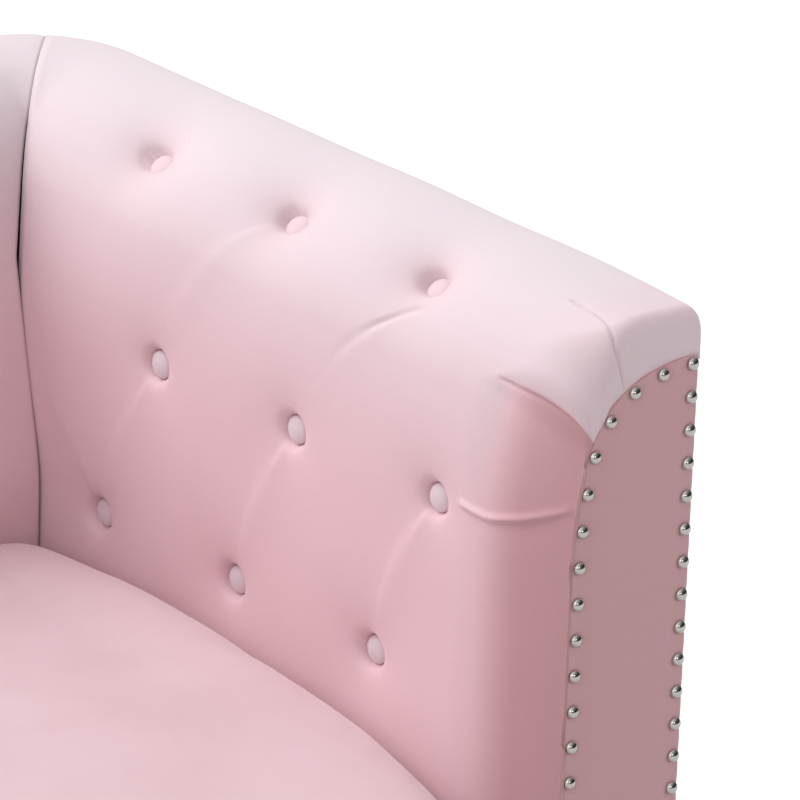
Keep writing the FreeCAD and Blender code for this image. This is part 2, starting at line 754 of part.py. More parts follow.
def leg_glides():
    """Glides under the legs, with a softened lower edge."""
    glides = []
    for x, y in leg_spots():
        glide = upright(x, y, GLIDE_DIAMETER, 0, GLIDE_HEIGHT)
        lower = [edge for edge in glide.Edges if edge.BoundBox.ZMax < GLIDE_HEIGHT / 2]
        glides.append(glide.makeFillet(GLIDE_EDGE, lower))
    return group(glides)


def block_screws():
    """Two screws through each corner block into the side rail."""
    screws = []
    rail_far = HALF - POST_INSET - LUMBER - BLOCK
    for x, y in leg_spots():
        side = math.copysign(1, x)
        for place in (y - SCREW_SPREAD / 2, y + SCREW_SPREAD / 2):
            head = V(side * rail_far, place, BASE_HEIGHT + BLOCK_HEIGHT / 2)
            shank = Part.makeCylinder(SCREW_DIAMETER / 2, SCREW_LENGTH, head, V(side, 0, 0))
            cap = Part.makeCylinder(SCREW_HEAD / 2, SCREW_HEAD_THICK, head, V(-side, 0, 0))
            screws.append(shank.fuse(cap))
    return group(screws)


def frame_dowels():
    """Dowels that pin the front and rear rails to their posts."""
    dowels = []
    joints = ((HALF - PANEL_WIDTH + FIT, FRONT_RAIL_FACE + (POST_BACK - FRONT_RAIL_FACE) / 2),
              (HALF - POST_FAR, REAR - POST_INSET - LUMBER / 2))
    for x, y in joints:
        for z in (BASE_HEIGHT + DOWEL_RISE, RAIL_TOP - DOWEL_RISE):
            start = V(x - DOWEL_LENGTH / 2, y, z)
            dowel = Part.makeCylinder(DOWEL_DIAMETER / 2, DOWEL_LENGTH, start, V(1, 0, 0))
            dowels += [dowel, mirrored(dowel)]
    return group(dowels)


SPRING_FRONT = FRONT_RAIL_FACE + LUMBER / 2
SPRING_REAR = REAR - POST_INSET - LUMBER / 2
SPRING_LEVEL = RAIL_TOP + CLIP_HEIGHT / 2


def spring_places():
    """Middle lines of the springs across the seat, clear of the centre line."""
    pitch = 2 * WELL_HALF / SPRING_COUNT
    return [(number + 0.5) * pitch - WELL_HALF for number in range(SPRING_COUNT)]


def spring(x):
    """Sinuous spring: straight cross runs joined by half turns, from the front clip to the rear clip."""
    run = SPRING_REAR - SPRING_FRONT
    turns = int((run - 2 * SPRING_LEAD - 2 * SPRING_BEND) / (2 * SPRING_BEND))
    lead = (run - 2 * SPRING_BEND * (turns + 1)) / 2
    half = SPRING_CROSS / 2
    bend = SPRING_BEND
    slant = bend * math.sqrt(0.5)
    y = SPRING_FRONT + lead
    way = 1
    segments = [((0, SPRING_FRONT), (0, y)),
                ((0, y), (bend - slant, y + slant), (bend, y + bend))]
    y += bend
    at = bend
    for _ in range(turns):
        stop = way * half
        segments.append(((at, y), (stop, y)))
        segments.append(((stop, y), (stop + way * bend, y + bend), (stop, y + 2 * bend)))
        y += 2 * bend
        way = -way
        at = stop
    stop = -way * bend
    segments.append(((at, y), (stop, y)))
    segments.append(((stop, y), (-way * (bend - slant), y + bend - slant), (0, y + bend)))
    segments.append(((0, y + bend), (0, SPRING_REAR)))
    path = wire_of(segments, lambda dx, dy: V(x + dx, dy, SPRING_LEVEL))
    ring = Part.Wire(Part.makeCircle(SPRING_WIRE / 2, V(x, SPRING_FRONT, SPRING_LEVEL), V(0, 1, 0)))
    return path.makePipeShell([ring], True, False)


def spring_clips():
    """Clips on the rails that hold the springs' ends."""
    clips = []
    half = CLIP_WIDTH / 2
    for x in spring_places():
        for middle in (SPRING_FRONT, SPRING_REAR):
            clip = box(x - half, x + half, middle - half, middle + half, RAIL_TOP, CLIP_TOP)
            bore = Part.makeCylinder(SPRING_WIRE / 2 + FIT, 2 * CLIP_WIDTH,
                                     V(x, middle - CLIP_WIDTH, SPRING_LEVEL), V(0, 1, 0))
            clips.append(clip.cut(bore))
    return group(clips)


def stay_wires():
    """Straight wires across the springs, close under them, from side rail to side rail."""
    reach = HALF - POST_INSET - LUMBER
    level = SPRING_LEVEL - SPRING_WIRE / 2 - STAY_WIRE / 2 - FIT
    wires = []
    for share in STAY_SHARES:
        y = SPRING_FRONT + share * (SPRING_REAR - SPRING_FRONT)
        wires.append(Part.makeCylinder(STAY_WIRE / 2, 2 * reach, V(-reach, y, level), V(1, 0, 0)))
    return group(wires)


DECK_REAR = REAR - BACK_SEAT_THICK - FIT
DECK_FRONT = FRONT + BORDER_SETBACK
DECK_HALF = WELL_HALF - FIT


def deck_cloth():
    """Cloth laid over the springs."""
    return box(-DECK_HALF, DECK_HALF, DECK_FRONT + COVER, DECK_REAR, CLIP_TOP, CLIP_TOP + DECK_CLOTH)


def deck_pad():
    """Felt pad over the deck cloth."""
    return box(-DECK_HALF, DECK_HALF, DECK_FRONT + COVER, DECK_REAR, CLIP_TOP + DECK_CLOTH, DECK_TOP - COVER)


def deck_cover():
    """Cloth over the deck pad, with a lip down its front edge to the border."""
    sheet = box(-DECK_HALF, DECK_HALF, DECK_FRONT, DECK_REAR, DECK_TOP - COVER, DECK_TOP)
    lip = box(-DECK_HALF, DECK_HALF, DECK_FRONT, DECK_FRONT + COVER, PAD_BOTTOM, DECK_TOP)
    return sheet.fuse(lip).removeSplitter()


def front_border(y0, y1, foot, top):
    """Slab of the front border between the arm facings."""
    reach = HALF - PANEL_WIDTH
    return box(-reach, reach, y0, y1, foot, top)


def dust_cover():
    """Thin cloth under the frame with openings at the legs."""
    sheet = plan_block(SKIN + FIT, FACING_BACK, UNDERSIDE, BASE_HEIGHT)
    half = LEG_TOP / 2
    holes = [box(x - half, x + half, y - half, y + half, 0, BODY_HEIGHT) for x, y in leg_spots()]
    return sheet.cut(holes)


def back_webbing():
    """Straps up the back behind the liner, from the tack rail to the top rail, between the ties."""
    path = BACK_PANEL.inset(2 * FIT + LINER)
    behind = path.inset(WEBBING_THICK)
    rail = POST_INSET + TOP_RAIL_WIDTH
    level = (TOP_RAIL_FOOT + TOP_RAIL_TOP) / 2
    outline = [(path.seat_thick, PAD_BOTTOM), (path.seat_thick, path.rake_foot()), path.start,
               (rail, level), (rail, level - TOP_RAIL_THICK / 2), behind.start,
               (behind.seat_thick, behind.rake_foot()), (behind.seat_thick, PAD_BOTTOM)]
    straps = []
    for number in range(WEBBING_COUNT):
        x = (number + WEBBING_SHIFT) * TUFT_PITCH - WEBBING_WIDTH / 2
        corners = [V(x, REAR - v, z) for v, z in outline]
        strap = Part.Face(Part.makePolygon(corners + corners[:1])).extrude(V(WEBBING_WIDTH, 0, 0))
        straps += [strap, mirrored(strap)]
    return group(straps)


CUSHION_SIDE = WELL_HALF - CUSHION_GAP
CUSHION_INNER = CUSHION_GAP
CUSHION_FOOT = DECK_TOP + FIT
CUSHION_REAR = REAR - BACK_SEAT_THICK - CUSHION_BACK_GAP


def cushion_section(x, drop, crown, inset):
    """Fore-and-aft section of a cushion: flat foot and rear, crowned top, round front drawn in mid-way."""
    front = FRONT + CUSHION_FRONT + crown * CUSHION_DRAW + inset
    rear = CUSHION_REAR - inset
    foot = CUSHION_FOOT + inset
    shoulder = CUSHION_SHOULDER - drop * CUSHION_EDGE_DROP - inset
    rise = crown * CUSHION_CROWN
    knee = FRONT + WATERFALL_REACH
    crest = shoulder + rise
    nose = shoulder - CUSHION_FRONT_DROP + rise * CROWN_AT_NOSE
    heel = (front + CUSHION_FOOT_ROUND, foot)
    slope = ((knee + front) / 2, (crest + nose) / 2 + WATERFALL_SAG)
    belly = (front - CUSHION_FRONT_BULGE, (nose + foot) / 2)
    back_top = (rear, shoulder + rise * CROWN_AT_REAR)
    middle = ((rear + knee) / 2, crest + rise * CROWN_SWELL + CUSHION_BOW)
    segments = [(heel, (rear, foot)), ((rear, foot), back_top), (back_top, middle, (knee, crest)),
                ((knee, crest), slope, (front, nose)), ((front, nose), belly, heel)]
    return wire_of(segments, lambda y, z: V(x, y, z))


def cushion_form(inset):
    """Right seat cushion, crowned in the middle and rounded off towards its sides."""
    width = CUSHION_SIDE - CUSHION_INNER - 2 * inset
    mirror = [(1 - share, drop, crown) for share, drop, crown in CUSHION_STATIONS[-2::-1]]
    sections = [cushion_section(CUSHION_INNER + inset + share * width, drop, crown, inset)
                for share, drop, crown in list(CUSHION_STATIONS) + mirror]
    return Part.makeLoft(sections, True, False)


def cushion_cover():
    """Cloth skin of the right cushion."""
    return cushion_form(0).cut(cushion_form(COVER))


def cushion_foam():
    """Foam of the right cushion."""
    return cushion_form(COVER + FIT)


ZIP_MIDDLE = (CUSHION_SIDE + CUSHION_INNER) / 2
ZIP_LEVEL = CUSHION_FOOT + ZIP_RISE
ZIP_FACE = CUSHION_REAR + ZIP_TAPE_THICK
ZIP_CREST = ZIP_FACE + ZIP_TEETH_RISE


def cushion_zip():
    """Closed zip sewn on the right cushion's rear, with a stop at each end."""
    x0 = ZIP_MIDDLE - ZIP_LENGTH / 2
    x1 = ZIP_MIDDLE + ZIP_LENGTH / 2
    tape = box(x0, x1, CUSHION_REAR, ZIP_FACE, ZIP_LEVEL - ZIP_TAPE / 2, ZIP_LEVEL + ZIP_TAPE / 2)
    teeth = box(x0, x1, ZIP_FACE, ZIP_CREST, ZIP_LEVEL - ZIP_TEETH / 2, ZIP_LEVEL + ZIP_TEETH / 2)
    stops = []
    for start in (x0, x1 - ZIP_STOP):
        stops.append(box(start, start + ZIP_STOP, ZIP_FACE, ZIP_CREST + ZIP_TAPE_THICK,
                         ZIP_LEVEL - ZIP_TEETH, ZIP_LEVEL + ZIP_TEETH))
    return tape.fuse([teeth] + stops).removeSplitter()


def zip_slider():
    """Slider astride the right zip's teeth at its outer end, with its pull tab hanging down."""
    x1 = ZIP_MIDDLE + ZIP_LENGTH / 2 - ZIP_STOP - FIT
    x0 = x1 - SLIDER_LENGTH
    half = SLIDER_HEIGHT / 2
    face = ZIP_FACE + FIT
    crest = ZIP_CREST + FIT
    shell = box(x0, x1, face, crest + SLIDER_WALL, ZIP_LEVEL - half, ZIP_LEVEL + half)
    channel = ZIP_TEETH / 2 + FIT
    shell = shell.cut(box(x0 - FIT, x1 + FIT, face - FIT, crest, ZIP_LEVEL - channel, ZIP_LEVEL + channel))
    middle = (x0 + x1) / 2
    tab = box(middle - TAB_WIDTH / 2, middle + TAB_WIDTH / 2, face, face + TAB_THICK,
              ZIP_LEVEL - half - TAB_LENGTH, ZIP_LEVEL - half)
    return shell.fuse(tab)


def pieces():
    """Every sub-part's shape under its node's name."""
    shapes = {
        "front_rail": front_rail(),
        "rear_rail": rear_rail(),
        "side_rails": both_sides(side_rail()),
        "centre_brace": centre_brace(),
        "corner_blocks": corner_blocks(),
        "front_posts": both_sides(front_post()),
        "rear_posts": both_sides(rear_post()),
        "back_centre_post": back_centre_post(),
        "back_top_rail": back_top_rail(),
        "back_tack_rail": back_tack_rail(),
        "arm_top_rails": both_sides(arm_top_rail()),
        "arm_tack_rails": both_sides(arm_tack_rail()),
        "arm_liners": both_sides(arm_liner()),
        "back_liner": back_liner(),
        "arm_facing_boards": both_sides(facing_board()),
        "arm_foams": both_sides(arm_foam()),
        "arm_buttons": both_sides(group([button(tuft) for tuft in arm_tufts()])),
        "outer_arm_boards": both_sides(arm_skin(COVER, BOARD, BASE_HEIGHT)),
        "outer_back_board": back_skin(COVER, BOARD, BASE_HEIGHT),
        "outside_back_cover": back_skin(0, COVER, UNDERSIDE),
        "frame_dowels": frame_dowels(),
        "block_screws": block_screws(),
        "leg_plates": leg_plates(),
        "leg_bolts": leg_bolts(),
        "leg_glides": leg_glides(),
        "seat_springs": group([spring(x) for x in spring_places()]),
        "spring_clips": spring_clips(),
        "stay_wires": stay_wires(),
        "deck_cloth": deck_cloth(),
        "deck_pad": deck_pad(),
        "deck_cover": deck_cover(),
        "back_webbing": back_webbing(),
        "back_cover": back_cover(),
        "back_foam": back_foam(),
        "back_buttons": group([button(tuft) for tuft in back_tufts()]),
        "button_ties": button_ties(),
        "front_border_pad": front_border(DECK_FRONT + COVER, FRONT_RAIL_FACE, BASE_HEIGHT, RAIL_TOP),
        "front_border_cover": front_border(DECK_FRONT, DECK_FRONT + COVER, UNDERSIDE, PAD_BOTTOM),
        "dust_cover": dust_cover(),
    }
    handed = {
        "arm_facing_cover": facing_cover(),
        "arm_cover": arm_cover(),
        "arm_nails": arm_nails(),
        "outside_arm_cover": arm_skin(0, COVER, UNDERSIDE),
        "seat_cushion_cover": cushion_cover(),
        "seat_cushion_foam": cushion_foam(),
        "seat_cushion_zip": cushion_zip(),
        "zip_slider": zip_slider(),
    }
    for name, shape in handed.items():
        shapes[name + "_right"] = shape
        shapes[name + "_left"] = mirrored(shape)
    ends = ("front_left", "front_right", "rear_left", "rear_right")
    for end, (x, y) in zip(ends, leg_spots()):
        shapes["leg_" + end] = leg(x, y)
    return shapes


def main():
    """Writes one file per sub-part."""
    os.makedirs("parts", exist_ok=True)
    for name, shape in pieces().items():
        shape.exportStep(os.path.join("parts", name + ".step"))
        solids = shape.Solids
        print(name, "solids", len(solids), "valid", shape.isValid(), "volume", round(shape.Volume))


if __name__ == "__main__":
    main()
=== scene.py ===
"""Looks of a button-tufted velvet loveseat with nailed arm fronts and loose seat cushions.

Metres, +Z up, +X to the viewer's right, the front faces -Y. A place on an arm or on the back is given by its
depth inward from the outside face, its height above the floor and its way along the piece.
"""

import json
import logging
import math
from dataclasses import dataclass
from enum import Enum

import bpy
import numpy as np
from mathutils import Matrix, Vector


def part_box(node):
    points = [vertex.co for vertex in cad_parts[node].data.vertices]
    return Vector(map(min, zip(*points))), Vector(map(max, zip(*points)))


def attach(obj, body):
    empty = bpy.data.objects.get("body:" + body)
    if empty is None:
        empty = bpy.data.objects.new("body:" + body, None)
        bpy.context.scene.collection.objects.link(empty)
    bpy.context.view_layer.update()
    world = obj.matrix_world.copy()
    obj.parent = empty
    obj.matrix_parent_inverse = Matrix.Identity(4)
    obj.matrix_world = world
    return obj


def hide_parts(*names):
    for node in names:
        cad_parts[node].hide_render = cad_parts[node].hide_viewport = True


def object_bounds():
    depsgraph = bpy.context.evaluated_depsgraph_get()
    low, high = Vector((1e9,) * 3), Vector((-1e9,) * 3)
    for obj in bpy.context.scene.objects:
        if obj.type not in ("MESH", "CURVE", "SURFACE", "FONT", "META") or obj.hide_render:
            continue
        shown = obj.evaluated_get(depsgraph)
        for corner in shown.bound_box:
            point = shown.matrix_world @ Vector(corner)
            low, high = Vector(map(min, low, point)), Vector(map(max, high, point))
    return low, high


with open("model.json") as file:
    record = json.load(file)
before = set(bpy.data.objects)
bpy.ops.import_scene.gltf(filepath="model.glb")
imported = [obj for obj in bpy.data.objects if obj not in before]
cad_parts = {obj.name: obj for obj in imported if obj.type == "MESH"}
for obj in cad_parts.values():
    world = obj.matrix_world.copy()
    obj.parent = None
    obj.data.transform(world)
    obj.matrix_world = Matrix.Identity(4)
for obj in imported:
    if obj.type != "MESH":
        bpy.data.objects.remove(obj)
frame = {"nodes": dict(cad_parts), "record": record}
CAD_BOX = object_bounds()
LOG = logging.getLogger("loveseat")

Array = np.ndarray
Piece = bpy.types.Object
Socket = bpy.types.NodeSocket
Sockets = tuple[Socket, Socket, Socket]
Pair = tuple[Array, Array]
Triple = tuple[float, float, float]
Stretches = tuple[Triple, ...]
Path = tuple[tuple[float, float], ...]

ROOT = "seat_frame"
UP = np.array([0.0, 0.0, 1.0])
EIGHTH_TURN = math.pi / 4
QUARTER_TURN = math.pi / 2
FULL_TURN = 2.0 * math.pi
# Gap that keeps neighbouring pieces apart, and the thickness of a cover's cloth.
CLEAR = 0.0003
CLOTH = 0.0015
# Turns of a section's side and top arcs, and the power that squares its outer edge a little.
SIDE_TURN = math.radians(12.0)
TOP_TURN = math.radians(15.0)
EDGE_POWER = 0.85
# Run number just short of a section's outer edge.
TOP_END = 3.999999
# Radii of an arm front's side, top and outer edge.
PANEL_SIDE = 0.382
PANEL_TOP = 0.152
PANEL_EDGE = 0.005
# Power with which an arm's bevel grows behind its front.
BEVEL_POWER = 1.6
# Depth and reach of the dip along a sewn edge.
SEAM_DIP = 0.0012
SEAM_REACH = 0.004


class Side(Enum):
    """The viewer's left or right half, with the sign of its X places."""

    LEFT = -1
    RIGHT = 1

    @property
    def label(self) -> str:
        """Name of the side as the nodes spell it."""
        return self.name.lower()


class Slot(Enum):
    """Material slots of the record that the pieces take their finish from."""

    VELVET = "velvet"
    FOAM = "foam"
    FRAME_WOOD = "frame_wood"
    LEG_WOOD = "leg_wood"
    FIBREBOARD = "fibreboard"
    STEEL = "steel"
    SPRING_STEEL = "spring_steel"
    NICKEL = "nickel"
    GLIDE = "glide_plastic"
    CLIP = "clip_plastic"
    LINING = "lining"
    WEBBING = "webbing"
    TWINE = "twine"
    ZIP_TAPE = "zip_tape"
    ZIP_METAL = "zip_metal"


def smooth_step(share: Array) -> Array:
    """Eases a share from 0 to 1 with level ends, t squared times (3 - 2 t).

    Args:
        share: values that are clipped to 0..1 first.

    Returns:
        The eased values.
    """
    clipped = np.clip(share, 0.0, 1.0)
    return clipped * clipped * (3.0 - 2.0 * clipped)


def unit(vectors: Array) -> Array:
    """Scales the vectors on the last axis to length 1."""
    return vectors / np.maximum(np.linalg.norm(vectors, axis=-1, keepdims=True), 1e-12)


def grid_normals(points: Array) -> Array:
    """Surface normals of a grid, the cross product of its two finite-difference tangents.

    Args:
        points: grid of shape (rows, columns, 3).

    Returns:
        Unit normals of the same shape.
    """
    return unit(np.cross(np.gradient(points, axis=0), np.gradient(points, axis=1)))


def grid_faces(rows: int, columns: int, closed: bool = False) -> Array:
    """Quads that join neighbouring points of a row-major grid.

    Args:
        rows: number of grid rows.
        columns: number of grid columns.
        closed: joins the last column to the first.

    Returns:
        Corner numbers, shape (quads, 4).
    """
    row = np.arange(rows - 1)[:, None]
    column = np.arange(columns if closed else columns - 1)[None, :]
    right = (column + 1) % columns
    corners = (row * columns + column, (row + 1) * columns + column,
               (row + 1) * columns + right, row * columns + right)
    return np.stack([np.broadcast_to(c, corners[0].shape) for c in corners], -1).reshape(-1, 4)


def flipped(faces: Array) -> Array:
    """The same faces seen from their other side."""
    return faces[:, ::-1]


def mesh_object(name: str, points: Array, faces: Array) -> Piece:
    """Makes a smooth-shaded mesh object at the origin from points and equal-sided faces.

    Args:
        name: the piece's name.
        points: vertex places, any shape whose last axis is 3.
        faces: corner numbers, shape (faces, corners).

    Returns:
        The new object, linked to the scene.
    """
    flat = np.ascontiguousarray(points.reshape(-1, 3), dtype=np.float32)
    count, sides = faces.shape
    mesh = bpy.data.meshes.new(name)
    mesh.vertices.add(len(flat))
    mesh.vertices.foreach_set("co", flat.ravel())
    mesh.loops.add(count * sides)
    mesh.loops.foreach_set("vertex_index", faces.ravel().astype(np.int32))
    mesh.polygons.add(count)
    mesh.polygons.foreach_set("loop_start", np.arange(0, count * sides, sides, dtype=np.int32))
    mesh.polygons.foreach_set("use_smooth", np.ones(count, dtype=bool))
    mesh.update(calc_edges=True)
    mesh.validate()
    made = bpy.data.objects.new(name, mesh)
    bpy.context.scene.collection.objects.link(made)
    return made


def vertex_places(mesh: bpy.types.Mesh) -> Array:
    """Vertex places of a mesh, shape (n, 3)."""
    flat = np.empty(len(mesh.vertices) * 3, dtype=np.float32)
    mesh.vertices.foreach_get("co", flat)
    return flat.reshape(-1, 3).astype(float)


def box_corners(*ranges: tuple[float, float]) -> Array:
    """The eight corners of a box from its X, Y and Z ranges, Z changing fastest."""
    return np.stack(np.meshgrid(*ranges, indexing="ij"), -1).reshape(-1, 3)


def copies(points: Array, faces: Array, count: int) -> Array:
    """Face lists of several copies of one shape whose points follow each other.

    Args:
        points: points of one copy, shape (n, 3).
        faces: faces of one copy.
        count: number of copies.

    Returns:
        Faces of all copies.
    """
    shift = np.arange(count)[:, None, None] * len(points)
    return (faces[None] + shift).reshape(-1, faces.shape[1])


def paint_light_shade_and_mottle(piece: Piece, painted_light_shade: Array | float, mottle: float = 0.0) -> None:
    """Notes on every vertex the velvet's painted light and shade, and how patchy its pile is.

    Args:
        piece: the piece whose mesh is noted on.
        painted_light_shade: painted light, up to 1 where the velvet is painted pale as if lit; painted shade,
            down to -1 where it is painted deep as if shaded.
        mottle: how patchy the pile is.
    """
    count = len(piece.data.vertices)
    for name, values in (("painted_light_shade", painted_light_shade), ("mottle", mottle)):
        noted = piece.data.attributes.new(name, "FLOAT", "POINT")
        noted.data.foreach_set("value", np.broadcast_to(values, count).astype(np.float32))


def thicken(piece: Piece, thickness: float = CLOTH) -> None:
    """Gives a sheet its thickness inward, so that it is a closed skin."""
    wall = piece.modifiers.new("thickness", "SOLIDIFY")
    wall.thickness = thickness
    wall.offset = -1.0


def settle(piece: Piece, slot: Slot, body: str, *nodes: str) -> Piece:
    """Dresses a finished piece, lets it ride on a body and stand for frame nodes.

    Args:
        piece: the finished piece.
        slot: its material slot.
        body: the body that it moves with.
        nodes: frame nodes that it stands for.

    Returns:
        The piece itself.
    """
    piece.data.materials.clear()
    piece.data.materials.append(FINISHES[slot].material())
    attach(piece, body)
    if nodes:
        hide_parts(*nodes)
    LOG.info("%s: %d faces on %s", piece.name, len(piece.data.polygons), body)
    return piece


class Nodes:
    """Short-hand for placing and linking shader nodes in one tree."""

    def __init__(self, tree: bpy.types.NodeTree) -> None:
        self.tree = tree

    def add(self, kind: str, **values: object) -> bpy.types.Node:
        """Adds a node and sets its properties.

        Args:
            kind: the node's type name.
            values: properties of the node.

        Returns:
            The new node.
        """
        node = self.tree.nodes.new(kind)
        for name, value in values.items():
            setattr(node, name, value)
        return node

    def link(self, source: Socket, target: Socket) -> None:
        """Links an output socket to an input socket."""
        self.tree.links.new(source, target)

    def math(self, operation: str, first: object, second: object) -> Socket:
        """Adds a Math node on two sockets or numbers and returns its result."""
        node = self.add("ShaderNodeMath", operation=operation)
        for socket, value in zip(node.inputs, (first, second)):
            if isinstance(value, Socket):
                self.link(value, socket)
            else:
                socket.default_value = value
        return node.outputs[0]

    def mix(self, share: object, first: object, second: object) -> Socket:
        """Adds a colour Mix node on sockets or colours and returns its result."""
        node = self.add("ShaderNodeMix", data_type="RGBA")
        for socket, value in zip((node.inputs[0], node.inputs[6], node.inputs[7]), (share, first, second)):
            if isinstance(value, Socket):
                self.link(value, socket)
            elif isinstance(value, float):
                socket.default_value = value
            else:
                socket.default_value = (*value, 1.0)
        return node.outputs[2]

    def noise(self, place: Socket, scale: object, detail: float, rough: float = 0.5) -> Socket:
        """Adds a Noise Texture at a place and returns its value."""
        node = self.add("ShaderNodeTexNoise")
        self.link(place, node.inputs["Vector"])
        if isinstance(scale, Socket):
            self.link(scale, node.inputs["Scale"])
        else:
            node.inputs["Scale"].default_value = scale
        node.inputs["Detail"].default_value = detail
        node.inputs["Roughness"].default_value = rough
        return node.outputs[0]


class Effect(Enum):
    """Surface effects that several finishes share, each a node group with named sockets."""

    PILE = "velvet_pile_and_painted_light"
    GRAIN = "wood_grain"
    WEAVE = "cloth_weave"
    HANDLED = "handled_metal"

    def group(self) -> bpy.types.NodeTree:
        """Returns the effect's node group, building it the first time."""
        found = bpy.data.node_groups.get(self.value)
        if found:
            return found
        tree = bpy.data.node_groups.new(self.value, "ShaderNodeTree")
        for name, kind in (("Light Color", "NodeSocketColor"), ("Dark Color", "NodeSocketColor"),
                           ("Painted Light Color", "NodeSocketColor"), ("Scale", "NodeSocketFloat"),
                           ("Amount", "NodeSocketFloat")):
            tree.interface.new_socket(name, in_out="INPUT", socket_type=kind)
        for name, kind in (("Color", "NodeSocketColor"), ("Roughness", "NodeSocketFloat"),
                           ("Height", "NodeSocketFloat")):
            tree.interface.new_socket(name, in_out="OUTPUT", socket_type=kind)
        nodes = Nodes(tree)
        given = nodes.add("NodeGroupInput")
        place = nodes.add("ShaderNodeTexCoord").outputs["Object"]
        builders = {Effect.PILE: _pile, Effect.GRAIN: _grain, Effect.WEAVE: _weave,
                    Effect.HANDLED: _handled}
        mask, rough, height = builders[self](nodes, place, given.outputs["Scale"])
        share = nodes.math("MULTIPLY", mask, given.outputs["Amount"])
        color = nodes.mix(share, given.outputs["Light Color"], given.outputs["Dark Color"])
        # Painted light and shade: above 0 the noted value mixes the colour towards the pale colour as if lit,
        # below 0 towards the dark colour as if shaded.
        if self is Effect.PILE:
            painted_light_shade = nodes.add("ShaderNodeAttribute", attribute_name="painted_light_shade").outputs["Fac"]
            color = nodes.mix(nodes.math("MAXIMUM", painted_light_shade, 0.0), color, given.outputs["Painted Light Color"])
            deep = nodes.math("MAXIMUM", nodes.math("MULTIPLY", painted_light_shade, -1.0), 0.0)
            color = nodes.mix(deep, color, given.outputs["Dark Color"])
        result = nodes.add("NodeGroupOutput")
        for name, socket in (("Color", color), ("Roughness", rough), ("Height", height)):
            nodes.link(socket, result.inputs[name])
        return tree


def ramp(nodes: Nodes, value: Socket, low: float, high: float) -> Socket:
    """Stretches the range low..high of a value to 0..1, clamped."""
    node = nodes.add("ShaderNodeMapRange")
    nodes.link(value, node.inputs["Value"])
    node.inputs["From Min"].default_value = low
    node.inputs["From Max"].default_value = high
    return node.outputs["Result"]


def _pile(nodes: Nodes, place: Socket, scale: Socket) -> Sockets:
    """Velvet: hand-wide patches where the pile leans another way, streaks along them and fine fibres.

    The patches and streaks follow the mottle noted on the piece, the fibres are everywhere.
    """
    mottle = nodes.add("ShaderNodeAttribute", attribute_name="mottle").outputs["Fac"]
    patches = ramp(nodes, nodes.noise(place, scale, 3.0, 0.55), 0.34, 0.66)
    streaks = nodes.noise(place, nodes.math("MULTIPLY", scale, 5.0), 4.0, 0.6)
    fibres = nodes.noise(place, nodes.math("MULTIPLY", scale, 150.0), 2.0, 0.7)
    leaning = nodes.math("ADD", nodes.math("MULTIPLY", patches, 0.7), nodes.math("MULTIPLY", streaks, 0.3))
    mask = nodes.math("ADD", nodes.math("MULTIPLY", leaning, mottle), nodes.math("MULTIPLY", fibres, 0.25))
    rough = nodes.math("ADD", nodes.math("MULTIPLY", leaning, 0.14), 0.74)
    height = nodes.math("ADD", fibres, nodes.math("MULTIPLY", streaks, 0.3))
    return mask, rough, height


def _grain(nodes: Nodes, place: Socket, scale: Socket) -> Sockets:
    """Wood: bands that wander along the board, with fine pores drawn out along them."""
    stretch = nodes.add("ShaderNodeMapping")
    stretch.inputs["Scale"].default_value = (1.0, 1.0, 0.12)
    nodes.link(place, stretch.inputs["Vector"])
    bands = nodes.noise(stretch.outputs[0], scale, 5.0, 0.6)
    rings = nodes.math("FRACT", nodes.math("MULTIPLY", bands, 6.0), 0.0)
    pores = nodes.noise(stretch.outputs[0], nodes.math("MULTIPLY", scale, 14.0), 3.0, 0.7)
    mask = nodes.math("ADD", nodes.math("MULTIPLY", rings, 0.6), nodes.math("MULTIPLY", pores, 0.4))
    rough = nodes.math("ADD", nodes.math("MULTIPLY", pores, 0.25), 0.3)
    return mask, rough, pores


def _weave(nodes: Nodes, place: Socket, scale: Socket) -> Sockets:
    """Cloth: crossed threads, each an absolute sine along its own direction, with uneven yarn."""
    parts = nodes.add("ShaderNodeSeparateXYZ")
    nodes.link(place, parts.inputs[0])
    across = nodes.math("ADD", parts.outputs[0], nodes.math("MULTIPLY", parts.outputs[2], 0.5))
    along = nodes.math("ADD", parts.outputs[1], nodes.math("MULTIPLY", parts.outputs[2], 0.5))
    waves = [nodes.math("ABSOLUTE", nodes.math("SINE", nodes.math("MULTIPLY", way, scale), 0.0), 0.0)
             for way in (across, along)]
    threads = nodes.math("MULTIPLY", waves[0], waves[1])
    yarn = nodes.noise(place, nodes.math("MULTIPLY", scale, 0.08), 3.0)
    mask = nodes.math("ADD", nodes.math("MULTIPLY", threads, -0.5), nodes.math("ADD", yarn, 0.3))
    rough = nodes.math("ADD", nodes.math("MULTIPLY", yarn, 0.15), 0.75)
    return mask, rough, threads


def _handled(nodes: Nodes, place: Socket, scale: Socket) -> Sockets:
    """Metal: cloudy dulling with fine scratches."""
    clouds = nodes.noise(place, scale, 4.0, 0.6)
    scratches = nodes.noise(place, nodes.math("MULTIPLY", scale, 18.0), 2.0, 0.8)
    mask = nodes.math("ADD", nodes.math("MULTIPLY", clouds, 0.7), nodes.math("MULTIPLY", scratches, 0.3))
    rough = nodes.math("ADD", nodes.math("MULTIPLY", mask, 0.22), 0.04)
    return mask, rough, scratches


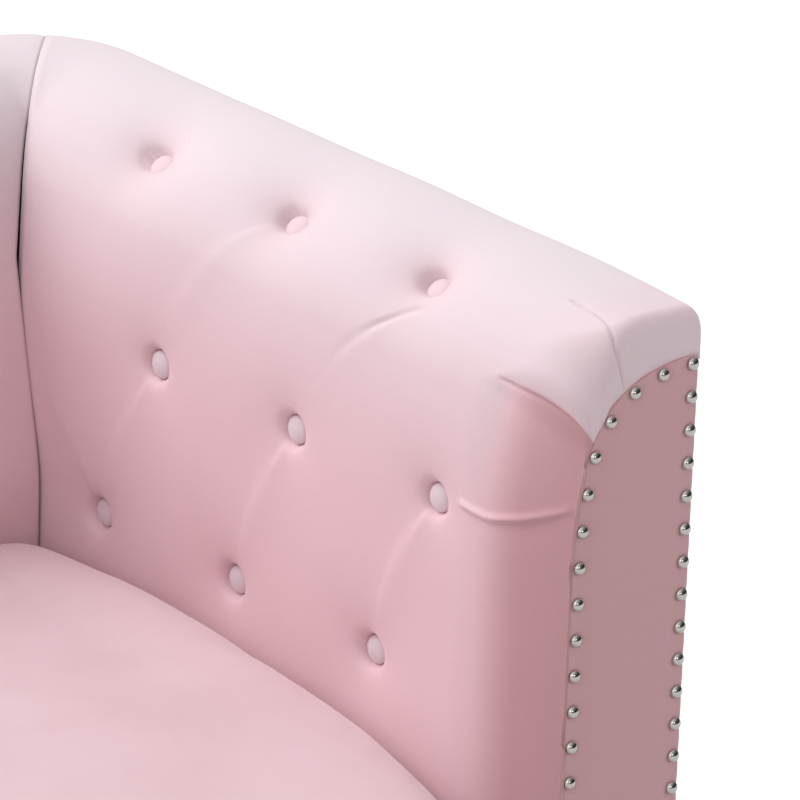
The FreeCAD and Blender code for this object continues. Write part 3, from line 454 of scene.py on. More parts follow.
@dataclass(frozen=True)
class Finish:
    """One surface finish: an effect between two colours, with the shader's constant values.

    Attributes:
        name: the material's name.
        effect: the shared effect.
        light: colour where the effect is weakest.
        dark: colour where the effect is strongest; on the velvet also its painted shade.
        scale: the effect's scale, in waves per metre.
        amount: how far the colour goes towards dark.
        bump: height of the fine relief, in metres.
        metallic: 1 for bare metal.
        sheen: weight of the fibre sheen.
        sheen_tint: colour of the fibre sheen.
        rough_shift: added to the effect's roughness.
        pale: painted light colour of a velvet, mixed in where it is painted as lit.
    """

    name: str
    effect: Effect
    light: Triple
    dark: Triple
    scale: float
    amount: float = 0.5
    bump: float = 0.0002
    metallic: float = 0.0
    sheen: float = 0.0
    sheen_tint: Triple = (1.0, 1.0, 1.0)
    rough_shift: float = 0.0
    pale: Triple = (1.0, 1.0, 1.0)

    def material(self) -> bpy.types.Material:
        """Returns the finish's material, building it the first time."""
        found = bpy.data.materials.get(self.name)
        if found:
            return found
        made = bpy.data.materials.new(self.name)
        made.use_nodes = True
        made.diffuse_color = (*self.light, 1.0)
        nodes = Nodes(made.node_tree)
        shader = made.node_tree.nodes["Principled BSDF"]
        effect = nodes.add("ShaderNodeGroup", node_tree=self.effect.group())
        effect.inputs["Light Color"].default_value = (*self.light, 1.0)
        effect.inputs["Dark Color"].default_value = (*self.dark, 1.0)
        effect.inputs["Painted Light Color"].default_value = (*self.pale, 1.0)
        effect.inputs["Scale"].default_value = self.scale
        effect.inputs["Amount"].default_value = self.amount
        nodes.link(effect.outputs["Color"], shader.inputs["Base Color"])
        rough = nodes.math("ADD", effect.outputs["Roughness"], self.rough_shift)
        nodes.link(rough, shader.inputs["Roughness"])
        relief = nodes.add("ShaderNodeBump")
        relief.inputs["Strength"].default_value = 0.6
        relief.inputs["Distance"].default_value = self.bump
        nodes.link(effect.outputs["Height"], relief.inputs["Height"])
        nodes.link(relief.outputs["Normal"], shader.inputs["Normal"])
        shader.inputs["Metallic"].default_value = self.metallic
        shader.inputs["Sheen Weight"].default_value = self.sheen
        shader.inputs["Sheen Roughness"].default_value = 0.45
        shader.inputs["Sheen Tint"].default_value = (*self.sheen_tint, 1.0)
        return made


FINISHES: dict[Slot, Finish] = {
    # The velvet's pale colour is painted light; its dark colour serves the pile's patches and the painted
    # shade.
    Slot.VELVET: Finish("blush_velvet", Effect.PILE, (0.79, 0.54, 0.59), (0.56, 0.31, 0.325), 7.0,
                        bump=0.0003, sheen=0.45, sheen_tint=(1.0, 0.93, 0.95), pale=(0.71, 0.615, 0.655)),
    Slot.FOAM: Finish("cream_foam", Effect.PILE, (0.86, 0.80, 0.58), (0.74, 0.66, 0.42), 30.0),
    Slot.FRAME_WOOD: Finish("sawn_pine", Effect.GRAIN, (0.62, 0.42, 0.24), (0.36, 0.2, 0.09), 26.0,
                            amount=0.7, rough_shift=0.2),
    Slot.LEG_WOOD: Finish("stained_beech", Effect.GRAIN, (0.055, 0.026, 0.014), (0.018, 0.008, 0.005), 34.0,
                          amount=0.8, rough_shift=-0.05),
    Slot.FIBREBOARD: Finish("brown_board", Effect.WEAVE, (0.42, 0.29, 0.17), (0.3, 0.2, 0.11), 900.0,
                            amount=0.6),
    Slot.STEEL: Finish("plain_steel", Effect.HANDLED, (0.62, 0.62, 0.63), (0.36, 0.36, 0.37), 40.0,
                       amount=0.6, metallic=1.0, rough_shift=0.2),
    Slot.SPRING_STEEL: Finish("spring_wire", Effect.HANDLED, (0.2, 0.2, 0.21), (0.1, 0.1, 0.11), 60.0,
                              amount=0.6, metallic=1.0, rough_shift=0.2),
    Slot.NICKEL: Finish("bright_nickel", Effect.HANDLED, (0.70, 0.68, 0.65), (0.45, 0.43, 0.4), 220.0,
                        amount=0.4, bump=0.00003, metallic=1.0, rough_shift=-0.06),
    Slot.GLIDE: Finish("black_glide", Effect.HANDLED, (0.02, 0.02, 0.02), (0.008, 0.008, 0.008), 90.0,
                       rough_shift=0.4),
    Slot.CLIP: Finish("white_clip", Effect.HANDLED, (0.7, 0.7, 0.66), (0.55, 0.55, 0.5), 90.0,
                      rough_shift=0.3),
    Slot.LINING: Finish("black_lining", Effect.WEAVE, (0.022, 0.022, 0.024), (0.008, 0.008, 0.009), 2600.0),
    Slot.WEBBING: Finish("jute_webbing", Effect.WEAVE, (0.2, 0.16, 0.12), (0.08, 0.06, 0.045), 1300.0),
    Slot.TWINE: Finish("waxed_twine", Effect.WEAVE, (0.8, 0.74, 0.62), (0.55, 0.48, 0.36), 4000.0),
    Slot.ZIP_TAPE: Finish("pink_zip", Effect.WEAVE, (0.62, 0.36, 0.4), (0.45, 0.24, 0.28), 4500.0),
    Slot.ZIP_METAL: Finish("zip_nickel", Effect.HANDLED, (0.6, 0.59, 0.57), (0.4, 0.39, 0.37), 160.0,
                           metallic=1.0, rough_shift=0.1),
}


@dataclass(frozen=True)
class Body:
    """Main places of the loveseat, read from the frame.

    Attributes:
        half: half of the overall width.
        front: plane of the arm fronts.
        rear: outside of the back.
        top: height of the arms and back.
        underside: lower edge of the covers.
        panel_top: top of the arm fronts and of the outside covers.
        pad_foot: lower edge of the tufted covers.
        corner: plan radius of the rear corners.
        pad_thick: thickness of an arm with its padding.
        panel_width: width of an arm front.
        seat_thick: thickness of the padded back at the seat.
    """

    half: float
    front: float
    rear: float
    top: float
    underside: float
    panel_top: float
    pad_foot: float
    corner: float = 0.104
    pad_thick: float = 0.133
    panel_width: float = 0.109
    seat_thick: float = 0.167

    @classmethod
    def from_frame(cls) -> "Body":
        """Reads the places from the boxes of the frame's nodes."""
        high = CAD_BOX[1]
        facing_low, facing_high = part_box("arm_facing_cover_right")
        return cls(half=high.x, front=facing_low.y, rear=high.y, top=high.z, underside=facing_low.z,
                   panel_top=facing_high.z + CLEAR, pad_foot=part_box("arm_cover_right")[0].z)

    @property
    def depth(self) -> float:
        """Depth of the body from the arm fronts to the outside back."""
        return self.rear - self.front

    @property
    def well(self) -> float:
        """Half of the width between the arms."""
        return self.half - self.pad_thick


@dataclass(frozen=True)
class RollSection:
    """Section of an arm or back in six runs: face, side, roll, top, edge and outer side.

    Side, roll and top are tangent arcs. The edge is a quarter turn whose sine and cosine are raised to
    EDGE_POWER, so that it is squarer than an arc. With a seat_thick, the face stands at that depth and the
    side is a straight rake up to the roll.

    Attributes:
        thick: depth of the face.
        top: height of the top.
        side_radius: radius of the side arc.
        top_radius: radius of the top arc.
        edge_radius: reach of the outer edge's turn.
        foot_in: height where the face begins.
        foot_out: height where the outer side ends.
        seat_thick: depth of a raked section at the seat.
    """

    thick: float
    top: float
    side_radius: float
    top_radius: float
    edge_radius: float
    foot_in: float
    foot_out: float
    seat_thick: float = 0.0

    @property
    def radius(self) -> float:
        """Radius of the roll, what the other arcs leave of the thickness."""
        taken = self.side_radius * (1 - math.cos(SIDE_TURN)) + self.top_radius * math.sin(TOP_TURN)
        return (self.thick - self.edge_radius - taken) / (math.cos(SIDE_TURN) - math.sin(TOP_TURN))

    @property
    def bend(self) -> float:
        """Height where the face begins to turn."""
        rise = self.side_radius * math.sin(SIDE_TURN) + self.top_radius * (1 - math.cos(TOP_TURN))
        return self.top - rise - self.radius * (math.cos(TOP_TURN) - math.sin(SIDE_TURN))

    @property
    def start(self) -> tuple[float, float]:
        """Depth and height where the roll begins."""
        return (self.thick - self.side_radius * (1 - math.cos(SIDE_TURN)),
                self.bend + self.side_radius * math.sin(SIDE_TURN))

    @property
    def knee(self) -> float:
        """Height where a raked face meets the upright part at the seat."""
        depth, height = self.start
        return height - (self.seat_thick - depth) / math.tan(SIDE_TURN)

    @property
    def runs(self) -> Array:
        """Lengths of the six runs."""
        depth, height = self.start
        face, side = self.bend - self.foot_in, self.side_radius * SIDE_TURN
        if self.seat_thick:
            face, side = self.knee - self.foot_in, math.hypot(self.seat_thick - depth, height - self.knee)
        roll = self.radius * (QUARTER_TURN - TOP_TURN - SIDE_TURN)
        return np.array([face, side, roll, self.top_radius * TOP_TURN, self.edge_radius * QUARTER_TURN,
                         self.top - self.edge_radius - self.foot_out])

    def run_of(self, arc: Array) -> Array:
        """Run number and share, as one number, at an arc length from the foot of the face."""
        return np.interp(arc, np.concatenate([[0.0], np.cumsum(self.runs)]), np.arange(7.0))

    def place(self, run: Array) -> Pair:
        """Depth and height on the section, each run being a line or a turn by its own angle.

        Args:
            run: run numbers with the share along the run behind the point.

        Returns:
            Depths and heights.
        """
        number = np.clip(run.astype(int), 0, 5)
        share = run - number
        start = self.start
        centre = (start[0] - self.radius * math.cos(SIDE_TURN), start[1] - self.radius * math.sin(SIDE_TURN))
        turn = SIDE_TURN + share * (QUARTER_TURN - TOP_TURN - SIDE_TURN)
        over = QUARTER_TURN - TOP_TURN * (1 - share)
        peak = self.top - self.top_radius
        fall = np.clip(share, 0.0, 1.0) * QUARTER_TURN
        across, down = np.sin(fall) ** EDGE_POWER, np.maximum(np.cos(fall), 0.0) ** EDGE_POWER
        if self.seat_thick:
            face = (np.full_like(run, self.seat_thick), self.foot_in + share * (self.knee - self.foot_in))
            side = (self.seat_thick + share * (start[0] - self.seat_thick),
                    self.knee + share * (start[1] - self.knee))
        else:
            lean = share * SIDE_TURN
            face = (np.full_like(run, self.thick), self.foot_in + share * (self.bend - self.foot_in))
            side = (self.thick - self.side_radius * (1 - np.cos(lean)),
                    self.bend + self.side_radius * np.sin(lean))
        roll = (centre[0] + self.radius * np.cos(turn), centre[1] + self.radius * np.sin(turn))
        crest = (self.edge_radius + self.top_radius * np.cos(over), peak + self.top_radius * np.sin(over))
        edge = (self.edge_radius * (1 - across), self.top - self.edge_radius * (1 - down))
        lowest = self.top - self.edge_radius
        outer = (np.zeros_like(run), lowest - share * (lowest - self.foot_out))
        parts = (face, side, roll, crest, edge, outer)
        tests = [number == index for index in range(6)]
        return np.select(tests, [part[0] for part in parts]), np.select(tests, [part[1] for part in parts])

    def smoothed(self, arc: Array, reach: float = 0.018) -> Pair:
        """Depth and height averaged over a short reach of arc, which softens the knee of a raked face.

        Args:
            arc: arc lengths.
            reach: half of the averaged stretch.

        Returns:
            Depths and heights.
        """
        margin, fade = 0.02, 0.03
        soft = smooth_step((arc - margin) / fade) * smooth_step((self.runs[:3].sum() - arc) / fade)
        shifts = np.linspace(-reach, reach, 7)
        samples = [self.place(self.run_of(arc + soft * shift)) for shift in shifts]
        return (sum(sample[0] for sample in samples) / len(samples),
                sum(sample[1] for sample in samples) / len(samples))


@dataclass(frozen=True)
class Tuft:
    """One button's pull on the cloth.

    Attributes:
        along: way along the piece.
        arc: arc length up the section.
        depth: how deep the button sits.
        pocket: depth of the tight part round the button.
        sunk: how far the button's back lies under the ground of its pocket.
        grip: reach of the tight part.
        spread: reach of the wide slope.
        level: radius of the level ground under the button.
    """

    along: float
    arc: float
    depth: float
    pocket: float
    sunk: float
    grip: float = 0.0022
    spread: float = 0.030
    level: float = 0.0110

    def offset(self, along: Array, arc: Array) -> Array:
        """Hollow round the button: level under it, a tight pocket at its rim and a wide slope beyond.

        Both parts rise as 1 - exp(-distance / reach), the pocket over the grip and the slope over the spread.

        Args:
            along: ways along the piece.
            arc: arc lengths up the section.

        Returns:
            Offsets along the surface normal.
        """
        near = np.maximum(np.hypot(along - self.along, arc - self.arc) - self.level, 0.0)
        wide = self.depth - self.pocket
        return -self.pocket * np.exp(-near / self.grip) - wide * np.exp(-near / self.spread)


@dataclass(frozen=True)
class Fold:
    """A pleat or tuck in the cloth along a curve on the surface.

    Attributes:
        path: places (along, arc) that the curve passes through.
        groove: depth of the line itself.
        width: half width of the line.
        lip: height of the cloth that laps over, on the left of the path.
        reach: distance over which the lap fades.
        fade_in: share of the path over which the fold begins.
        fade_out: share of the path over which it dies away.
    """

    path: Path
    groove: float
    width: float
    lip: float
    reach: float
    fade_in: float = 0.1
    fade_out: float = 0.3

    def curve(self, steps: int = 28) -> Array:
        """Points of a smooth curve through the path, a Catmull-Rom spline."""
        points = np.array(self.path)
        ends = np.vstack([2 * points[0] - points[1], points, 2 * points[-1] - points[-2]])
        place = np.linspace(0.0, len(points) - 1.0, steps)
        index = np.minimum(place.astype(int), len(points) - 2)
        t = (place - index)[:, None]
        a, b, c, d = (ends[index + shift] for shift in range(4))
        square, cube = 2 * a - 5 * b + 4 * c - d, 3 * b - a - 3 * c + d
        return 0.5 * (2 * b + (c - a) * t + square * t ** 2 + cube * t ** 3)

    def offset(self, along: Array, arc: Array) -> Array:
        """Line sunk by groove * exp(-(d / width)^2) with a lap of lip * exp(-d / reach) on its left side.

        Args:
            along: ways along the piece.
            arc: arc lengths up the section.

        Returns:
            Offsets along the surface normal.
        """
        curve = self.curve()
        least = 1e-3
        nearest = np.full(along.shape, np.inf)
        signed = np.zeros(along.shape)
        share = np.zeros(along.shape)
        count = len(curve) - 1
        for index in range(count):
            start, way = curve[index], curve[index + 1] - curve[index]
            length = math.hypot(*way)
            u = np.clip(((along - start[0]) * way[0] + (arc - start[1]) * way[1]) / length ** 2, 0.0, 1.0)
            dx, dy = along - start[0] - u * way[0], arc - start[1] - u * way[1]
            away = np.hypot(dx, dy)
            closer = away < nearest
            nearest = np.where(closer, away, nearest)
            signed = np.where(closer, np.sign(way[0] * dy - way[1] * dx) * away, signed)
            share = np.where(closer, (index + u) / count, share)
        strength = smooth_step(share / max(self.fade_in, least))
        strength = strength * smooth_step((1 - share) / max(self.fade_out, least))
        ease = 0.5 + 0.5 * np.tanh(signed / self.width)
        lap = self.lip * ease * np.exp(-np.abs(signed) / self.reach)
        return strength * (lap - self.groove * np.exp(-(signed / self.width) ** 2))


def graded(length: float, step: float, stretches: Stretches) -> Array:
    """Steps along a length whose size changes by stretch, each place being the running sum of 1 / step.

    Args:
        length: the whole length.
        step: usual size of a step.
        stretches: (middle, half length, step) of stretches with their own step; later ones win.

    Returns:
        Rising places from 0 to the length.
    """
    samples = 4001
    place = np.linspace(0.0, length, samples)
    size = np.full(place.shape, step)
    for middle, half, own in stretches:
        size = np.where(np.abs(place - middle) <= half, own, size)
    count = np.concatenate([[0.0], np.cumsum(np.diff(place) / size[1:])])
    return np.interp(np.linspace(0.0, count[-1], int(count[-1]) + 1), count, place)


@dataclass
class TuftedPad:
    """Shared make-up of the tufted covers, each of which has its own profile, axes, tufts and folds.

    Attributes:
        body: main places of the loveseat.
        side_radius: radius of the lower turn of the inside face.
        top_radius: radius of the slightly crowned top.
        edge_radius: reach of the outer top edge's turn.
        roll_turn: turn of the roll where its buttons sit.
        depths: depths of the roll, upper and lower buttons.
        pockets: depths of their tight pockets.
        sunk: how far the buttons' backs lie under the ground of the pockets.
        upper_drop: drop of the upper row under the top.
        lower_drop: drop of the lower row under the top.
        pitch: distance between buttons in a row.
        fine_reach: half length of the finely stepped stretch round a button.
        ripple: height of the stuffing's slight unevenness.
        mottle: how patchy the pile is.
    """

    body: Body
    side_radius: float = 0.500
    top_radius: float = 0.150
    edge_radius: float = 0.014
    roll_turn: float = math.radians(51.0)
    depths: Triple = (0.0260, 0.0155, 0.0185)
    pockets: Triple = (0.0080, 0.0085, 0.0090)
    sunk: Triple = (0.0032, 0.0, 0.0)
    upper_drop: float = 0.168
    lower_drop: float = 0.307
    pitch: float = 0.160
    fine_reach: float = 0.017
    ripple: float = 0.0006
    mottle: float = 0.12

    def section(self, seat_thick: float = 0.0) -> RollSection:
        """The pad's section, raked if a seat thickness is given."""
        body = self.body
        return RollSection(body.pad_thick, body.top, self.side_radius, self.top_radius, self.edge_radius,
                           body.pad_foot, body.panel_top + CLEAR, seat_thick)

    def row_arcs(self, section: RollSection) -> Triple:
        """Arc lengths of the roll, upper and lower button rows."""
        runs = section.runs
        roll = runs[0] + runs[1] + section.radius * (self.roll_turn - SIDE_TURN)
        rows = []
        for drop in (self.upper_drop, self.lower_drop):
            height = self.body.top - drop
            over = max(height - section.knee, 0.0) if section.seat_thick else 0.0
            rows.append(height - section.foot_in + over * (1 / math.cos(SIDE_TURN) - 1))
        return roll, rows[0], rows[1]

    def columns(self, section: RollSection, fine: Stretches = ()) -> Array:
        """Arc lengths of the grid's columns, wide apart behind the cushions and close at buttons and folds.

        Args:
            section: the pad's section.
            fine: stretches as (middle, half length, step) besides those round the button rows.

        Returns:
            Rising arc lengths.
        """
        usual, hidden = 0.0042, (0.06, 0.06, 0.012)
        rows = tuple((arc, self.fine_reach, 0.0017) for arc in self.row_arcs(section))
        return graded(float(section.runs.sum()), usual, rows + fine + (hidden,))

    def rounded(self, depth: Array, behind: Array) -> Pair:
        """Bends the mitred rear corner round in plan.

        A line of constant depth d turns its last stretch, as long as R = corner - d, into an eighth of a
        circle of radius R about the corner's centre.

        Args:
            depth: depths from the pad's own outside face.
            behind: depths from the neighbour's outside face.

        Returns:
            The bent depths, in the same order.
        """
        corner = self.body.corner
        radius = np.maximum(corner - depth, 1e-6)
        turn = np.clip(1.0 - (behind - depth) / radius, 0.0, 1.0) * EIGHTH_TURN
        bent = (depth < corner) & (behind < corner)
        return (np.where(bent, corner - radius * np.cos(turn), depth),
                np.where(bent, corner - radius * np.sin(turn), behind))

    def pleat(self, upper: Tuft, lower: Tuft, bow: float, lip: float) -> Fold:
        """Soft diagonal fold that falls from one button towards a lower one.

        Args:
            upper: the button where the fold begins.
            lower: the button that it fades towards.
            bow: sideways bow of the fold.
            lip: height of the lap.

        Returns:
            The fold.
        """
        start, end = np.array([upper.along, upper.arc]), np.array([lower.along, lower.arc])
        way = (end - start) / np.linalg.norm(end - start)
        aside = np.array([way[1], -way[0]])
        shares = ((1.0, 0.0), (0.6, 1.0), (0.3, 0.8), (0.0, 0.0))
        path = tuple(tuple(start + (end - start) * share + aside * bow * bulge) for share, bulge in shares)
        return Fold(path, groove=0.0005, width=0.0024, lip=lip, reach=0.024, fade_in=0.6, fade_out=0.12)

    def outward(self, section: RollSection, arc: Array) -> Array:
        """Share of the painted light left at an arc length: 1 on the inside and top, falling over the outer
        edge.
        """
        lost, length = 0.7, 0.022
        return 1.0 - lost * smooth_step((arc - float(section.runs[:4].sum())) / length)

    def quilting(self, along: Array, arc: Array) -> Array:
        """All tufts and folds as offsets along the surface normal."""
        return sum(shape.offset(along, arc) for shape in self.tufts() + self.folds())

    def seats(self) -> Pair:
        """Where the buttons sit, square to the section at each of them.

        Returns:
            Places and outward directions of the buttons' backs.
        """
        spots = [(tuft.along, tuft.arc, tuft.depth + tuft.sunk) for tuft in self.tufts()]
        along, arc, sink = np.array(spots).T
        origin, lengthwise, inward = self.axes()
        step = 1e-4
        depth, height = self.profile(arc)
        next_depth, next_height = self.profile(arc + step)
        lean, rise = unit(np.stack([next_depth - depth, next_height - height], -1)).T[..., None]
        ways = rise * inward - lean * UP
        places = origin + along[:, None] * lengthwise + depth[:, None] * inward + height[:, None] * UP
        return places - ways * sink[:, None], ways


@dataclass
class ArmPad(TuftedPad):
    """Tufted cover of one arm, with the pleats where it is folded round the front end.

    Paths of pleats and folds are given as (way along the arm, arc length up the section).

    Attributes:
        side: which arm.
        bevel_round: length over which the inside face grows out behind the arm front.
        cheek_round: the same on the cheek, above the cheek pleat.
        top_round: radius of the turn behind the flat band that runs over the top.
        front_dip: how much lower the top is at the front.
        tuck_in: how far the front edge is turned in behind the seam.
        first: way to the first button of the upper row.
        stagger: shift of the roll row and the lower row against it.
        corner_pleat: path of the pleat at the inner end of the band.
        cheek_pleat: path of the pleat under the cheek.
        roll_fold: path of the fold that rises to the first roll button.
        front_tuck: path of the tuck beside the front button.
        inner_fold: path of the fold near the rear corner.
    """

    side: Side = Side.RIGHT
    bevel_round: float = 0.097
    cheek_round: float = 0.058
    top_round: float = 0.010
    front_dip: float = 0.009
    tuck_in: float = 0.004
    first: float = 0.130
    stagger: float = 0.066
    corner_pleat: Path = (
        (0.064, 0.5258), (0.052, 0.5246), (0.038, 0.5232), (0.025, 0.5211),
        (0.015, 0.5181), (0.006, 0.5135), (0.000, 0.5085), (-0.012, 0.5000))
    cheek_pleat: Path = (
        (0.080, 0.4509), (0.064, 0.4519), (0.053, 0.4529), (0.041, 0.4545),
        (0.027, 0.4559), (0.011, 0.4569), (0.001, 0.4566), (-0.012, 0.4560))
    roll_fold: Path = (
        (0.264, 0.386), (0.244, 0.420), (0.221, 0.443), (0.206, 0.456), (0.192, 0.468), (0.180, 0.4755))
    front_tuck: Path = (
        (0.099, 0.3527), (0.090, 0.3522), (0.079, 0.3518), (0.066, 0.3525), (0.049, 0.3590),
        (0.035, 0.3663), (0.018, 0.3790), (0.002, 0.3950), (-0.012, 0.4100))
    inner_fold: Path = (
        (0.516, 0.205), (0.530, 0.236), (0.552, 0.262), (0.585, 0.300))

    def profile(self, arc: Array) -> Pair:
        """Depth and height at arc lengths up the section."""
        section = self.section()
        return section.place(section.run_of(arc))

    def axes(self) -> tuple[Array, Array, Array]:
        """Directions that places on the arm are measured in.

        Returns:
            Front end of the outside face on the floor, the direction along the arm and the one inward.
        """
        body, sign = self.body, self.side.value
        return (np.array([sign * body.half, body.front, 0.0]), np.array([0.0, 1.0, 0.0]),
                np.array([-sign, 0.0, 0.0]))

    def tufts(self) -> list[Tuft]:
        """Three rows of three buttons, the outer rows staggered against the middle one."""
        arcs = self.row_arcs(self.section())
        shifts = (self.stagger, 0.0, self.stagger)
        made = []
        for shift, *row in zip(shifts, arcs, self.depths, self.pockets, self.sunk):
            made += [Tuft(self.first + shift + number * self.pitch, *row) for number in range(3)]
        return made

    def folds(self) -> list[Fold]:
        """Pleats at the front end, the tuck beside the front button and the soft folds between buttons."""
        tufts = self.tufts()
        # Path, groove, width, lip, reach, fade in and fade out of each.
        sewn = ((self.corner_pleat, 0.0020, 0.0009, 0.0007, 0.008, 0.08, 0.0),
                (self.corner_pleat[:3], 0.0020, 0.0012, 0.0, 0.008, 0.25, 0.5),
                (self.cheek_pleat, 0.0022, 0.0010, -0.0010, 0.010, 0.10, 0.55),
                (self.front_tuck, -0.0034, 0.0026, -0.0012, 0.006, 0.06, 0.45),
                (self.inner_fold, -0.0010, 0.0016, 0.0010, 0.020, 0.20, 0.3),
                (self.roll_fold, 0.0026, 0.0026, 0.0010, 0.026, 0.55, 0.05))
        # Upper button, lower button, bow and lip of each.
        soft = ((1, 5, -0.012, 0.0014), (3, 6, -0.008, 0.0022),
                (4, 7, -0.006, 0.0018), (5, 8, -0.006, 0.0016))
        return ([Fold(*values) for values in sewn]
                + [self.pleat(tufts[upper], tufts[lower], bow, lip) for upper, lower, bow, lip in soft])

    def panel(self) -> RollSection:
        """Outline of the arm front, which the cover rolls out from."""
        body = self.body
        top = body.panel_top + CLEAR
        return RollSection(body.panel_width + CLEAR, top, PANEL_SIDE, PANEL_TOP, PANEL_EDGE, body.pad_foot,
                           top - PANEL_EDGE)

    def swell(self, along: Array, arc: Array, out: Array) -> Pair:
        """Share of the way from the arm front's outline out to the full section.

        With s as the way along, the bevel grows as 1 - (1 - s / round)^BEVEL_POWER and the cheek as a quarter
        ellipse. Above the corner pleat a flat band comes first, then turns back over a small round.

        Args:
            along: ways along the arm.
            arc: arc lengths up the section.
            out: how far out the band has come.

        Returns:
            The shares, and 1 where the band is flat.
        """
        band_start, band_rise, cheek_start, cheek_rise = 0.478, 0.048, 0.440, 0.030
        flat = smooth_step((arc - band_start) / band_rise)
        cheek = smooth_step((arc - cheek_start) / cheek_rise)
        reach = self.bevel_round + (self.cheek_round - self.bevel_round) * cheek
        reach = reach + (self.top_round - reach) * flat
        left = np.clip(1.0 - along / reach, 0.0, 1.0)
        law = (1.0 - cheek) * (1.0 - left ** BEVEL_POWER) + cheek * np.sqrt(1.0 - left ** 2)
        rim = flat * (1.0 - self.top_round / (self.body.top - self.body.panel_top))
        return out * rim + (1.0 - rim) * law, flat

    def rows(self) -> Pair:
        """Rows of the grid: shares along the arm, and how far out the flat front band has come."""
        length = self.body.depth - self.body.pad_thick
        buttons = tuple((self.first + self.stagger * row + self.pitch * number, self.fine_reach, 0.0018)
                        for row in range(2) for number in range(3))
        usual = 0.006
        fine = ((0.215, 0.04, 0.003), (0.05, 0.05, 0.0028), (0.008, 0.008, 0.0011))
        places = graded(length, usual, fine + buttons)
        band = np.array([0.0, 0.04, 0.1, 0.2, 0.35, 0.5, 0.65, 0.8, 0.92])
        return (np.concatenate([np.zeros(len(band)), places]) / length,
                np.concatenate([band, np.ones(len(places))]))

    def surface(self) -> tuple[Array, Array, Array, Array]:
        """The cover without tufts or folds.

        The section is carried along the arm. At the front it swells from the arm front's outline, where its
        edge is turned in behind the seam. The top dips towards the front as exp(-s / reach), but not on the
        outer side. At the rear the cover ends on the mitre, bent round in plan.

        Returns:
            Points of the right arm, ways along the arm, arc lengths and the hold of the relief, on the grid.
        """
        body, section = self.body, self.section()
        arc = self.columns(section, ((0.466, 0.022, 0.0022), (0.452, 0.010, 0.0010), (0.517, 0.016, 0.0011),
                                     (0.366, 0.024, 0.0014)))
        run = section.run_of(arc)
        pad_depth, pad_height = section.place(run)
        panel_depth, panel_height = self.panel().place(run)
        inside = run < 4.0
        turn = np.clip(run - 4.0, 0.0, 2.0) * EIGHTH_TURN
        drop = PANEL_EDGE * (1.0 - np.cos(turn))
        panel_depth = np.where(inside, panel_depth, PANEL_EDGE * (1.0 - np.sin(turn)))
        panel_height = np.where(inside, panel_height, body.panel_top + CLEAR - drop)
        share, band = self.rows()
        along = share[:, None] * (body.depth - pad_depth)[None, :]
        out = np.broadcast_to(band[:, None], along.shape)
        arcs = np.broadcast_to(arc, along.shape)
        grown, flat = self.swell(along, arcs, out)
        inward = unit(np.stack([-np.gradient(panel_height), np.gradient(panel_depth)], -1))
        turned = self.tuck_in * ((1.0 - flat) * (1.0 - out) + flat * (1.0 - smooth_step(out / 0.06)))
        depth = panel_depth + (pad_depth - panel_depth) * grown + inward[:, 0] * turned
        dip_reach, dip_start, dip_rise = 0.12, 0.515, 0.06
        dip = self.front_dip * np.exp(-along / dip_reach) * smooth_step((arcs - dip_start) / dip_rise)
        dip = dip * np.clip(6.0 - run, 0.0, 1.0)
        height = panel_height + (pad_height - dip - panel_height) * grown + inward[:, 1] * turned
        depth, behind = self.rounded(depth, body.depth - along)
        points = np.stack([body.half - depth, body.rear - behind + turned, height], -1)
        hold = (1.0 - flat) * smooth_step((out - 0.3) / 0.7) + flat * smooth_step(out / 0.3)
        hold = np.where(inside, hold, smooth_step((out - 0.5) / 0.5) * smooth_step(along / 0.01))
        return points, along, arcs, hold

    def relief(self, along: Array, arc: Array) -> Array:
        """Tufts, folds and the outer seam as offsets along the normal, with the stuffing's unevenness."""
        offset = self.quilting(along, arc)
        offset = offset + self.ripple * np.sin(along * 31.0 + 1.3) * np.sin(arc * 27.0 + 0.4)
        total = float(self.section().runs.sum())
        return offset - SEAM_DIP * np.exp(-(total - arc) / SEAM_REACH)

    def painted_light_shade(self, along: Array, arc: Array) -> Array:
        """Painted light and shade: pale on the top as if lit from above, fading down the face, pale on the
        cheek and painted shade deep on the bevel.

        Args:
            along: ways along the arm.
            arc: arc lengths up the section.

        Returns:
            Values of painted light and shade for the piece's mesh.
        """
        front_length, bevel_end, bevel_fade, cheek_painted_light, shade_reach = 0.085, 0.084, 0.046, 0.66, 0.03
        away = smooth_step(along / front_length)
        fade = smooth_step((arc - 0.30) / 0.26)
        # Painted shade: the paleness is halved in the hollows round the roll buttons.
        for tuft in self.tufts()[:3]:
            near = np.hypot(along - tuft.along, arc - tuft.arc)
            fade = fade * (1.0 - 0.5 * np.exp(-(near / shade_reach) ** 2))
        fade = fade * self.outward(self.section(), arc)
        # The cheek above the cheek pleat, where the pile lies another way, is also painted pale as if lit;
        # the bevel below it gets painted shade.
        pleat = np.array(self.cheek_pleat[::-1])
        patch = smooth_step((arc - np.interp(along, pleat[:, 0], pleat[:, 1])) / 0.004)
        deep = smooth_step((bevel_end - along) / bevel_fade) * (1.0 - patch)
        return away * fade + (1.0 - away) * patch * cheek_painted_light - deep

    def build(self) -> Piece:
        """Builds and dresses the cover."""
        points, along, arc, hold = self.surface()
        normals = -grid_normals(points)
        points = points + normals * (self.relief(along, arc) * hold)[..., None]
        faces = flipped(grid_faces(*along.shape))
        if self.side is Side.LEFT:
            points = points * np.array([-1.0, 1.0, 1.0])
            faces = flipped(faces)
        piece = mesh_object(f"arm_pad_{self.side.label}", points, faces)
        paint_light_shade_and_mottle(piece, self.painted_light_shade(along, arc).ravel(), self.mottle)
        thicken(piece)
        nodes = [f"arm_cover_{self.side.label}"] + (["arm_foams"] if self.side is Side.RIGHT else [])
        return settle(piece, Slot.VELVET, ROOT, *nodes)


